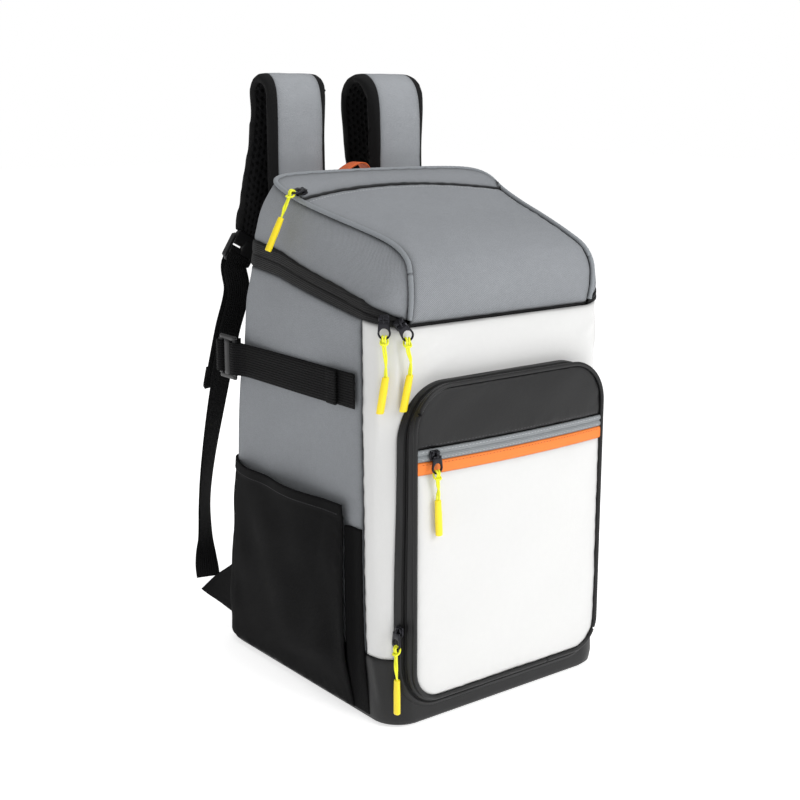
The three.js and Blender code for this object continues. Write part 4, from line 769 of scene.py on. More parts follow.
# main zip: two tape halves that meet in a groove, which the slider has closed
zipLook = {"proud": 0.9, "bulge": 0.3, "groove": 0.9, "grooveWidth": 0.8, "under": 1.5}
bandGrids = {}
for side, sign in sides:
    ends = sorted((sign * 1.05, sign * bag["backSeam"]))
    station = wrapped(stationsAlong(*ends, 2.2, 400))[:, None]
    share = np.linspace(0, 1, 33)[None]
    low, high = zipLower(station) + 0.3, zipUpper(station) - 0.3
    height = lerp(low - zipLook["under"], high + zipLook["under"], share)
    inside = np.minimum(height - low, high - height)
    fromMiddle = height - (low + high) / 2
    proud = (zipLook["proud"] + zipLook["bulge"] * np.sin(np.pi * np.clip(2 * inside / (high - low), 0, 1))
             - zipLook["groove"] * np.exp(-(fromMiddle / zipLook["grooveWidth"]) ** 2)
             - 2.6 * (1 - smooth(inside, -1.3, 0.8)))
    proud = proud + 0.25 * waves(station * 60, height, 40, 11)
    bandGrids[side] = outlinePoint(height, station, proud)
    addPiece(shell(f"visual_zip_band_{side}", bandGrids[side], bag["cloth"]), bandBlack, [f"zip_band_{side}"])

station = stationsAlong(-1.04, 1.04, 2.5, 369)[:, None]
share = np.linspace(0, 1, 9)[None]
height = zipLower(station) + lerp(-0.4, 3.4, share)
addPiece(shell("visual_zip_band_front", outlinePoint(height, station, -2.2 - 0.4 * np.sin(np.pi * share)), 1.0),
         bandBlack, ["zip_band_front"])

# ---------------------------------------------------------------- base tray
print("base")
baseLook = {"floor": 3.0, "heights": [0, 0, 1.4, 4.3, 8.4, 12.9, 18, 24, 31, 39, 47, 55, 61, 64, 66]}
stations = stationsAlong(0, 10, 2.8, 40)[:-1]
heights = np.array(baseLook["heights"], float)[:, None]
proud = np.array([-9, -1.5] + [0] * 10 + [0, -0.3, -1.1], float)[:, None]
around = wrapped(stations)[None]
soft = 0.5 * waves(np.cos(stations * 0.628) * 400, np.sin(stations * 0.628) * 400 + heights, 90, 8) * smooth(heights, 8, 40)
outer = outlinePoint(heights, around, proud + soft)
inner = outlinePoint(np.maximum(heights[::-1], baseLook["floor"]), around, proud[::-1] - bag["cloth"])
addPiece(loft("visual_base_tray", np.concatenate([outer, inner])), blackCoated, ["base_tray"])

# ---------------------------------------------------------------- lid
print("lid")
lidLook = {"tuck": 1.7, "drop": 1.2, "pipingGrow": 0.1, "fold": 0.6, "foldSize": 110, "stripLift": 2.0}


def edgeShare(station):
    return 1 - lidLook["tuck"] / np.maximum(np.abs(lidEdgePoint(station)[..., 0]), 1)


q = np.linspace(-1, 1, 84)[:, None]
station = np.linspace(1.0, lidSize["zipStation"], 92)[None]
top = lidTopPoint(station + 0 * q, q * edgeShare(station))
top[..., 2] -= lidLook["drop"] * (1 - smooth(station, 1.0, 1.2))
x, y = top[..., 0], top[..., 1]
folds = sum(ridge(x, y, *f) for f in (
    ((-84, -60), (-20, -112), 11, 0.8), ((96, -40), (40, -120), 12, 0.8), ((-70, 20), (50, 34), 12, -0.5),
    ((-95, -125), (-60, -60), 8, 0.6)))
topGrid = settled(top, dip=2.0, reach=5, fold=lidLook["fold"], foldSize=lidLook["foldSize"], seed=21, extra=folds)
addPiece(shell("visual_lid_top_panel", topGrid, bag["cloth"]), greyTwill, ["lid_top_panel"])


def wallTop(station):
    # how far up the wall goes before it is under the piping
    head = lidHead(station)
    rise = lidEdgePoint(head) - outlinePoint(zipUpper(station) + 0.3, station)
    edgeStep = unit(lidEdgePoint(head * 1.01) - lidEdgePoint(head * 0.99))
    square = np.linalg.norm(np.cross(unit(rise), edgeStep), axis=-1)
    return 1 - lidLook["tuck"] / square / np.linalg.norm(rise, axis=-1)


lidSideGrids = {}
for side, sign in sides:
    ends = sorted((sign * 1.16, sign * bag["backSeam"]))
    station = wrapped(stationsAlong(*ends, 2.6, 400))[:, None]
    v = np.linspace(0, 1, 52)[None] * wallTop(station)
    wall = lidWallPoint(station + 0 * v, v)
    folds = sum(ridge(wall[..., 1], wall[..., 2], *f) for f in (
        ((-118, 404), (-70, 398), 6, 0.7), ((-40, 425), (30, 440), 10, 0.7), ((90, 440), (60, 478), 10, 0.6)))
    lidSideGrids[side] = settled(wall, dip=1.4, reach=6, fold=0.5, foldSize=90, seed=24 + sign, extra=folds)
    addPiece(shell(f"visual_lid_side_{side}", lidSideGrids[side], bag["cloth"]), greyTwill,
             [f"lid_side_{side}"])

station = wrapped(stationsAlong(bag["backSeam"] + 0.01, 10 - bag["backSeam"] - 0.01, 3.4, 430))[:, None]
v = np.linspace(0, 1, 26)[None] * wallTop(station)
addPiece(shell("visual_lid_back_panel", settled(lidWallPoint(station + 0 * v, v), fold=0.4, seed=29), bag["cloth"]),
         greyTwill, ["lid_back_panel"])

widest = float(lidEdgePoint(np.array(3.1))[0])


def stripPoint(station, share):
    # from the top pocket's zip back to the piping
    behind = lidEdgePoint(station)
    q = edgeShare(np.array(lidSize["zipStation"])) * behind[..., 0] / widest
    front = lidTopPoint(lidSize["zipStation"] + 0 * station, q)
    length = np.linalg.norm(behind - front, axis=-1)
    t = lerp(0.3 / length, 1 - lidLook["tuck"] / length, share)
    point = front + (behind - front) * t[..., None]
    point[..., 2] += lidLook["stripLift"] * np.sin(np.pi * t)
    return point


station = wrapped(np.linspace(3.02, 6.98, 110))[:, None]
share = np.linspace(0.008, 1, 32)[None]
strip = settled(stripPoint(station + 0 * share, share + 0 * station), dip=0.7, reach=3, fold=0.5, foldSize=70, seed=31)
strip = strip[::-1]
addPiece(outward(shell("visual_lid_back_strip", strip, bag["cloth"], flip=normalsOf(strip)[50, 12, 2] < 0)), greyTwill,
         ["lid_back_strip"])
share = np.linspace(-0.05, 0.06, 13)[None]
zipStrip = stripPoint(station + 0 * share, share + 0 * station)[::-1]
zipStrip[..., 2] -= 0.9
addPiece(outward(shell("visual_lid_pocket_zip", zipStrip, 1.5, flip=normalsOf(zipStrip)[50, 6, 2] < 0)), bandBlack,
         ["lid_pocket_zip"])

pipingStations = wrapped(np.arange(1.02, 8.981, 0.05))
pipingLine = smoothLine(resample(lidEdgePoint(pipingStations), 90), 420)
run = np.linspace(0, 1, 420)
addPiece(tube("visual_lid_piping", pipingLine, lidSize["piping"] + lidLook["pipingGrow"] + 0.1 * np.sin(run * 900), 12), greyPiping,
         ["lid_piping"])

# ---------------------------------------------------------------- front pocket
print("front pocket")
pocketLook = {"inset": 1.2, "step": 2.6, "fold": 0.5, "flapProud": 1.0, "tapeProud": 0.5, "gussetTurns": 380}


def faceBand(low, high, profile, step=pocketLook["step"], **settle):
    # a strip of the pocket's face between two heights; profile gives its relief from its two distances
    share = np.linspace(-1, 1, int(2 * pocket["half"] / step))[:, None]
    z = np.linspace(low, high, max(int((high - low) / step), 8) + 1)[None] + 0 * share
    x = share * pocketReach(z, pocketLook["inset"])
    points = facePoint(x, z, profile(z - low, high - z))
    return settled(points, **settle) if settle else points


flapTop = pocket["zip"] + pocket["flap"]
tapeTop = flapTop + pocket["tape"]
faceGrid = faceBand(pocket["bottom"] + pocketLook["inset"], pocket["zip"] + 2, lambda a, b: 0 * a)
x, z = faceGrid[..., 0], faceGrid[..., 2]
folds = sum(ridge(x, z, *f) for f in (
    ((-104, 236), (-84, 150), 12, 0.9), ((60, 238), (96, 180), 14, 0.8), ((-60, 60), (-104, 34), 12, -0.6),
    ((104, 120), (84, 40), 14, 0.7), ((0, 236), (30, 190), 20, 0.5)))
faceGrid = settled(faceGrid, dip=1.4, reach=6, fold=pocketLook["fold"], foldSize=120, seed=41, extra=folds)
addPiece(shell("visual_pocket_face", faceGrid, bag["cloth"]), whiteCoated, ["pocket_face"])
flapGrid = faceBand(pocket["zip"], flapTop, lambda a, b: pocketLook["flapProud"] - 1.2 * np.exp(-a / 0.9)
                    - 1.6 * np.exp(-b / 0.8), 1.2)
addPiece(shell("visual_pocket_zip_flap", flapGrid, 1.4), orangeTape, ["pocket_zip_flap"])
tapeGrid = faceBand(flapTop, tapeTop, lambda a, b: pocketLook["tapeProud"] + 0.5 * np.sin(np.pi * np.abs(a - b) / (a + b))
                    - 1.3 * np.exp(-((a - b) / 1.5) ** 2) - 0.8 * np.exp(-b / 0.8) - 0.4 * np.exp(-a / 0.8), 0.8)
addPiece(shell("visual_pocket_zip_tape", tapeGrid, 1.4), greyTape, ["pocket_zip_tape"])
upperGrid = faceBand(tapeTop, pocket["top"] - pocketLook["inset"], lambda a, b: 0 * a, dip=1.2, reach=5, fold=0.4,
                     foldSize=80, seed=43)
addPiece(shell("visual_pocket_upper_panel", upperGrid, bag["cloth"]), blackCoated, ["pocket_upper_panel"])


def gussetGrid(low, high, columns, relief):
    # round the pocket's outline, from the bag (v = 0) forward to the piping (v = 1)
    turns = pocketLook["gussetTurns"]
    foot, head = pocketContour(turns, pocket["flare"], pocket["topFlare"]), pocketContour(turns)
    foot[:, 0] *= 1 - pocket["footTaper"] * smooth(foot[:, 1], pocket["bottom"], pocket["top"])
    footHeight = np.maximum(foot[:, 1], 0.012 * bag["wall"])
    footDepth = frontFaceDepth(np.maximum(np.abs(foot[:, 0]) - 4, 0), footHeight) - 0.6
    reach = (pocket["piping"] - 0.9) / (pocketPlane - footDepth)
    v = np.linspace(low, high, columns)
    t = v[None] * (1 + reach[:, None])
    point = stack(lerp(foot[:, :1], head[:, :1], t), lerp(footDepth[:, None], pocketPlane, t),
                  lerp(footHeight[:, None], head[:, 1:], t))
    normal = normalsOf(point, True)
    return point + normal * relief(v)[None, :, None], normal


pieces = (("rear", -0.02, 0.39, 12, blackCoated, "black_coated", lambda v: -1.0 * np.exp(-(0.39 - v) / 0.03)),
          ("zip", 0.37, 0.65, 17, bandBlack, "zip_tape",
           lambda v: -0.5 - 1.3 * np.exp(-((v - 0.51) / 0.03) ** 2) + 0.4 * np.sin(np.pi * np.abs(v - 0.51) / 0.14)),
          ("front", 0.63, 1.0, 12, blackCoated, "black_coated",
           lambda v: -1.0 * np.exp(-(v - 0.63) / 0.03) - 0.8 * np.exp(-(1 - v) / 0.04)))
gussetGrids = {}
for part, low, high, columns, look, slot, relief in pieces:
    gussetGrids[part], normal = gussetGrid(low, high, columns, relief)
    u, v = arcs(gussetGrids[part], True)
    gussetGrids[part] += normal * (0.3 * waves(u, v, 60, 47) * smooth(v, 0, 4) * smooth(v[:, -1:] - v, 0, 4))[..., None]
    addPiece(shell(f"visual_pocket_gusset_{part}", gussetGrids[part], bag["cloth"], closed=True), look,
             [f"pocket_gusset_{part}"])

turns = 400
line = pocketContour(turns)
start = int(turns * 0.052)
line = np.roll(line, -start, 0)
pipingLine = stack(line[:, 0], pocketPlane + 0 * line[:, 0], line[:, 1])
pipingLine = np.concatenate([pipingLine, pipingLine[:3] + [0, 0.9, 0]])
addPiece(tube("visual_pocket_piping", pipingLine, pocket["piping"], 12), blackCoated, ["pocket_piping"])

# ---------------------------------------------------------------- side pockets
print("side pockets")
sidePocket = {"bottom": 7, "top": 204, "slack": 10, "slackEnd": 0.56, "frontReach": 26, "pleatTop": 184, "pleatDepth": 6, "hem": 13,
              "rear": 3.75, "fold": 0.9}
_, frontShare, backShare = sectionAt(sidePocket["top"] / 2)
sideRun = float(backShare + frontShare) * halfDepth - bag["backCorner"] - bag["frontCorner"]
pocketFrom = 2 + sidePocket["frontReach"] / sideRun
sidePocketGrids, pleatGrids = {}, {}
for side, sign in sides:
    ends = sorted((sign * pocketFrom, sign * sidePocket["rear"]))
    station = stationsAlong(*ends, 2.6, 100)[:, None]
    height = np.linspace(sidePocket["bottom"], sidePocket["top"], 76)[None]
    along = np.clip((np.abs(station) - pocketFrom) / (sidePocket["rear"] - pocketFrom), 0, 1)
    mouth = sidePocket["slack"] * np.sin(np.pi * np.minimum(along / sidePocket["slackEnd"], 1)) ** 0.7 * smooth(height, 0, sidePocket["top"])
    frontEdge = sidePocket["pleatDepth"] * (1 - smooth(along, 0, 0.5)) * smooth(height, 0, 0.3 * sidePocket["top"])
    slack = 0.6 + bag["cloth"] + np.maximum(mouth, frontEdge)
    wall = outlinePoint(height, station, slack)
    y, z = wall[..., 1], wall[..., 2]
    hemStep = 0.8 * smooth(height, 189, 191) - 1.2 * np.exp(-((height - 190.4) / 1.1) ** 2)
    folds = hemStep + sum(ridge(y, z, *f) for f in (
        ((-80, 186), (-92, 30), 10, 1.2), ((-10, 180), (-60, 60), 20, 0.9), ((60, 170), (20, 60), 18, 0.8),
        ((100, 150), (90, 40), 12, 0.8), ((-96, 60), (60, 26), 8, 0.8)))
    sidePocketGrids[side] = settled(wall, dip=0.9, reach=4, pucker=0.3, fold=sidePocket["fold"], foldSize=80, edges="abc",
                                    seed=51 + sign, extra=folds)
    addPiece(shell(f"visual_side_pocket_{side}", sidePocketGrids[side], bag["cloth"]), wovenBlack,
             [f"side_pocket_{side}"])
    ends = sorted((sign * (bag["frontSeam"] + 0.006), sign * (pocketFrom + 0.004)))
    station = np.linspace(*ends, 16)[:, None]
    height = np.linspace(sidePocket["bottom"], sidePocket["pleatTop"], 70)[None]
    share = np.clip((np.abs(station) - bag["frontSeam"]) / (pocketFrom - bag["frontSeam"]), 0, 1)
    lift = smooth(height, 0, 0.3 * sidePocket["top"]) * (sidePocket["pleatDepth"] - bag["cloth"]) * share ** 1.5
    bend = 1.4 * np.sin(2 * np.pi * share) * smooth(height, 8, 60)
    pleatGrids[side] = outlinePoint(height, station, 0.6 + lift + bend)
    addPiece(shell(f"visual_side_pocket_pleat_{side}", pleatGrids[side], bag["cloth"]), wovenBlack,
             [f"side_pocket_pleat_{side}"])

# ---------------------------------------------------------------- compression straps
print("compression straps")
strap = {"width": 32, "height": 311, "thick": 1.5, "tail": 32, "buckleLength": 30, "buckleHeight": 44, "plate": 4, "bar": 4,
         "anchor": 3.6, "rib": 0.25}
buckleTurn = strap["plate"] / np.sqrt(2) + 0.3 + strap["thick"]
across, frontShare, backShare = (float(s) for s in sectionAt(strap["height"]))
wallX = across * halfWidth + bag["crown"]
buckleFront = backShare * halfDepth - bag["backCorner"] + 4
barX, barY = wallX + 0.6 + buckleTurn, buckleFront + strap["bar"]
bendMiddle = buckleTurn - strap["thick"] / 2


def arc(cx, cy, radius, start, end, count):
    angle = np.linspace(start, end, count)
    return np.stack([cx + radius * np.cos(angle), cy + radius * np.sin(angle)], -1)


def bar(name, start, end, wide, width, thickness, power=3.0, count=9):
    # a moulded bar: a section with rounded edges that closes in a little at both ends
    start, end = np.asarray(start, float), np.asarray(end, float)
    t = np.linspace(0, 1, count)
    line = start + (end - start) * t[:, None]
    along = unit(end - start)
    wide = unit(np.asarray(wide, float) - along * np.dot(wide, along))
    out = np.cross(along, wide)
    angle = np.linspace(0, 2 * np.pi, 20, endpoint=False)
    c, s = np.cos(angle), np.sin(angle)
    a, o = np.sign(c) * np.abs(c) ** (2 / power), np.sign(s) * np.abs(s) ** (2 / power)
    inward = np.minimum(t, 1 - t) * np.linalg.norm(end - start)
    close = np.sqrt(np.clip(1 - (1 - np.minimum(inward / (thickness / 2), 1)) ** 2, 0.02, 1))[:, None, None]
    rings = line[:, None] + close * (a[:, None] * width / 2 * wide + o[:, None] * thickness / 2 * out)
    return loft(name, rings)


def frameOf(name, origin, u, v, bars, rails, thickness):
    # a flat moulded frame: rails along u at places across v, bars along v at places along u
    origin, u, v = (np.asarray(p, float) for p in (origin, u, v))
    parts = [bar(name, origin + u * a + v * c, origin + u * b + v * c, v, w, thickness, count=15) for a, b, c, w in rails]
    parts += [bar(name, origin + u * c + v * a, origin + u * c + v * b, u, w, t, count=15) for a, b, c, w, t in bars]
    return joined(name, parts)


seamY = outlinePoint(strap["height"], bag["frontSeam"] + 0.02)[1]
tailY = -frontShare * halfDepth + bag["frontCorner"] + strap["tail"]
inner = wallX + 0.6 + strap["thick"] / 2
outerX = inner + strap["thick"] + 0.4
strapLine = np.concatenate([
    [[inner, seamY + 1], [inner, seamY + 30], [inner, 0], [inner, barY - 14]],
    arc(barX, barY, bendMiddle, np.pi, 0, 15),
    [[barX + bendMiddle, buckleFront - 1.5], [outerX + 2, buckleFront - 8], [outerX, buckleFront - 16], [outerX, 20],
     [outerX, tailY + 12], [outerX + 0.5, tailY + 3], [outerX + 0.9, tailY + 0.6], [outerX + 1.5, tailY - 0.4],
     [outerX + 2.1, tailY + 0.6], [outerX + 2.2, tailY + 4], [outerX + 2.1, tailY + 11], [outerX + 1.9, tailY + 14]]])
strapGrids = {}
for side, sign in sides:
    line = resample(stack(sign * strapLine[:, 0], strapLine[:, 1], strap["height"] + 0 * strapLine[:, 0]), 260)
    line[:, 0] += sign * 0.25 * np.sin(np.linspace(0, 17, 260)) * smooth(np.arange(260), 10, 40)
    wide = np.tile([0.0, 0.0, 1.0], (260, 1))
    addPiece(band(f"visual_compression_strap_{side}", line, wide, strap["width"], strap["thick"], edge=0.3), webbing,
             [f"compression_strap_{side}"])
    strapGrids[side] = line
    half = strap["buckleHeight"] / 2
    front, rear = buckleFront, buckleFront + strap["buckleLength"]
    middle = (front + rear) / 2
    addPiece(frameOf(
        f"visual_compression_buckle_{side}", (sign * barX, 0, strap["height"]), (0, 1, 0), (0, 0, 1),
        bars=[(-half + 2, half - 2, front + 2, 4.4, 4.2), (-half + 2, half - 2, middle + 1, 9.5, 4.8),
              (-half + 2, half - 2, rear - 2.5, 6.4, 4.4)],
        rails=[(front, rear, -half + 2.6, 5.2), (front, rear, half - 2.6, 5.2)], thickness=strap["plate"]),
        blackPlastic, [f"compression_buckle_{side}"])
    barRear = rear - strap["bar"] / 2
    bend = strap["plate"] / np.sqrt(2) + 0.3 + strap["thick"] / 2
    seam = outlinePoint(strap["height"] - strap["width"] / 2, strap["anchor"], 1.2)
    flat = np.concatenate([[[seam[0], seam[1]], [barX - bend, barRear - 3]], arc(barX, barRear, bend, np.pi, 2 * np.pi, 13)[:0],
                           arc(barX, barRear, bend, np.pi, 0, 13)[:0]])
    loop = np.concatenate([[[seam[0], seam[1]], [barX - bend * 1.02, barRear + 4]],
                           arc(barX, barRear, bend, np.pi, 2 * np.pi, 13), [[barX + bend * 0.7, barRear + 5],
                                                                           [barX - bend * 0.3, barRear + 7]]])
    line = resample(stack(sign * loop[:, 0], loop[:, 1], strap["height"] + 0 * loop[:, 0]), 60)
    addPiece(band(f"visual_compression_anchor_{side}", line, np.tile([0.0, 0.0, 1.0], (60, 1)), strap["width"],
                  strap["thick"]), webbing, [f"compression_anchor_{side}"])

# ---------------------------------------------------------------- shoulder straps
print("shoulder straps")
pad = {"spacing": 126, "shift": 8, "width": 75, "end": 30, "thick": 12, "binding": 12, "meshBinding": 6, "peak": 588, "leftArch": 14.5, "rightArch": 25,
       "lock": (34, 30, 4), "lockBar": 10, "lockAcross": 0.91, "webbing": 25, "webbingThick": 1.5, "tail": 146, "tailGap": 9,
       "holePitch": (8.0, 5.2), "holeDepth": 1.3}
padRise = {"up": [0.664, 0.750, 0.830, 0.920], "across": [0.95, 0.98, 1.00, 1.00], "behind": [0.775, 0.773, 0.773, 0.773]}
padFall = {"drop": [0.035, 0.090, 0.145, 0.185, 0.212, 0.234, 0.244],
           "across": [1.01, 1.06, 1.19, 1.36, 1.53, 1.65, 1.70], "out": [0.0, 0.0, -0.007, -0.020, -0.027, -0.020, -0.014],
           "width": [1.0, 1.0, 0.95, 0.8, 0.5, 0.15, 0.0]}
webbingRoute = np.array([[0.984, 1.238, 0.140, -20, 38], [0.968, 1.286, 0.185, 0, 20], [0.950, 1.320, 0.245, 24, 5],
                         [0.955, 1.306, 0.345, 32, 0], [0.970, 1.224, 0.470, 26, 0], [0.958, 1.122, 0.640, 12, 0],
                         [0.912, 1.027, 0.830, 4, -8], [0.860, 0.985, 0.935, 0, -24]])


def padLine(sign, radius, count=150):
    # up the back, over the arch and down behind: centre points, widths and the frame at each
    half = pad["spacing"] / 2
    archTop = pad["peak"] - pad["thick"] / 2 - radius
    depth = padRise["behind"][0] * halfDepth
    up = np.linspace(padRise["up"][0], padRise["up"][-1], 5)
    rise = stack(sign * half * smoothColumn(padRise, "up", "across", up) + pad["shift"],
                 halfDepth * smoothColumn(padRise, "up", "behind", up), up * pad["peak"])
    angle = np.pi * (1 - np.linspace(0, 1, 9))
    over = stack(sign * half + pad["shift"], depth + radius + radius * np.cos(angle), archTop + radius * np.sin(angle))
    drop = np.linspace(padFall["drop"][0], padFall["drop"][-1], 11)
    fall = stack(sign * half * smoothColumn(padFall, "drop", "across", drop) + pad["shift"],
                 depth + 2 * radius + halfDepth * smoothColumn(padFall, "drop", "out", drop), archTop - drop * pad["peak"])
    width = np.r_[np.ones(14), smoothColumn(padFall, "drop", "width", drop)]
    line = np.concatenate([rise, over, fall])
    run = np.r_[0, np.cumsum(np.linalg.norm(np.diff(line, axis=0), axis=1))]
    line = smoothLine(line, count)
    width = lerp(pad["end"], pad["width"], np.interp(np.linspace(0, run[-1], count), run, width))
    along = unit(np.gradient(line, axis=0))
    out = unit(np.cross([1.0, 0, 0], along))
    return line, width, along, out, unit(np.cross(along, out))


def padGrid(frame, places):
    # places: one (across, out) pair of arrays or numbers a column, across as offsets from the middle
    line, width, along, out, across = frame
    a, o = (np.stack([np.broadcast_to(p[k], (len(line),)) for p in places], 1) for k in (0, 1))
    return line[:, None] + a[..., None] * across[:, None] + o[..., None] * out[:, None]


def readPoints(obj):
    shown = obj.evaluated_get(bpy.context.evaluated_depsgraph_get()).to_mesh()
    points = np.empty(len(shown.vertices) * 3)
    shown.vertices.foreach_get("co", points)
    obj.to_mesh_clear()
    return points.reshape(-1, 3) * 1000


def laidOn(points, core, offset):
    # each point of a grid moved to the nearest place on another piece and offset millimetres above it
    shape = points.shape
    guide = meshFrom("guide", points.reshape(-1, 3), [cells(*shape[:2])])
    bpy.context.scene.collection.objects.link(guide)
    wrap = guide.modifiers.new("wrap", "SHRINKWRAP")
    wrap.target, wrap.wrap_mode, wrap.offset = core, "ABOVE_SURFACE", offset * 0.001
    bpy.context.view_layer.update()
    result = readPoints(guide).reshape(shape)
    mesh = guide.data
    bpy.data.objects.remove(guide)
    bpy.data.meshes.remove(mesh)
    return result


def puffed(core, voxel, pressure, frames=18, limit=2.5):
    # stuffed cloth: an even remesh, then air pressure in a cloth simulation, the movement held under limit mm
    bpy.context.scene.collection.objects.link(core)
    bpy.context.view_layer.objects.active = core
    remesh = core.modifiers.new("even", "REMESH")
    remesh.mode, remesh.voxel_size = "VOXEL", voxel * 0.001
    bpy.context.view_layer.update()
    mesh = bpy.data.meshes.new_from_object(core.evaluated_get(bpy.context.evaluated_depsgraph_get()))
    core.modifiers.clear()
    old, core.data = core.data, mesh
    bpy.data.meshes.remove(old)
    before = readPoints(core)
    cloth = core.modifiers.new("cloth", "CLOTH")
    cloth.settings.use_pressure = True
    cloth.settings.uniform_pressure_force = pressure
    cloth.settings.effector_weights.gravity = 0
    cloth.settings.tension_stiffness = 60
    cloth.settings.bending_stiffness = 2.0
    cloth.settings.quality = 4
    scene = bpy.context.scene
    for step in range(1, frames + 1):
        scene.frame_set(step)
    moved = readPoints(core) - before
    core.modifiers.clear()
    scene.frame_set(1)
    far = np.linalg.norm(moved, axis=1, keepdims=True)
    points = before + moved * np.minimum(1, limit / np.maximum(far, 1e-6))
    core.data.vertices.foreach_set("co", (points * 0.001).ravel())
    core.data.update()
    smoother = core.modifiers.new("smooth", "SUBSURF")
    smoother.levels = smoother.render_levels = 1
    core.data.shade_smooth()
    bpy.context.scene.collection.objects.unlink(core)
    return core


def holed(points, pitch, depth, sign=1):
    # air mesh: diamond holes in staggered columns, each dipping by depth
    u, v = arcs(points)
    a, b = u / pitch[0], v / pitch[1]
    column = np.floor(b)
    a = a + 0.5 * (column % 2)
    diamond = np.abs(a - np.floor(a) - 0.5) * 2 + np.abs(b - column - 0.5) * 2
    dip = depth * smooth(1 - diamond, 0.02, 0.55)
    return points + normalsOf(points) * (sign * (0.4 - dip))[..., None], dip


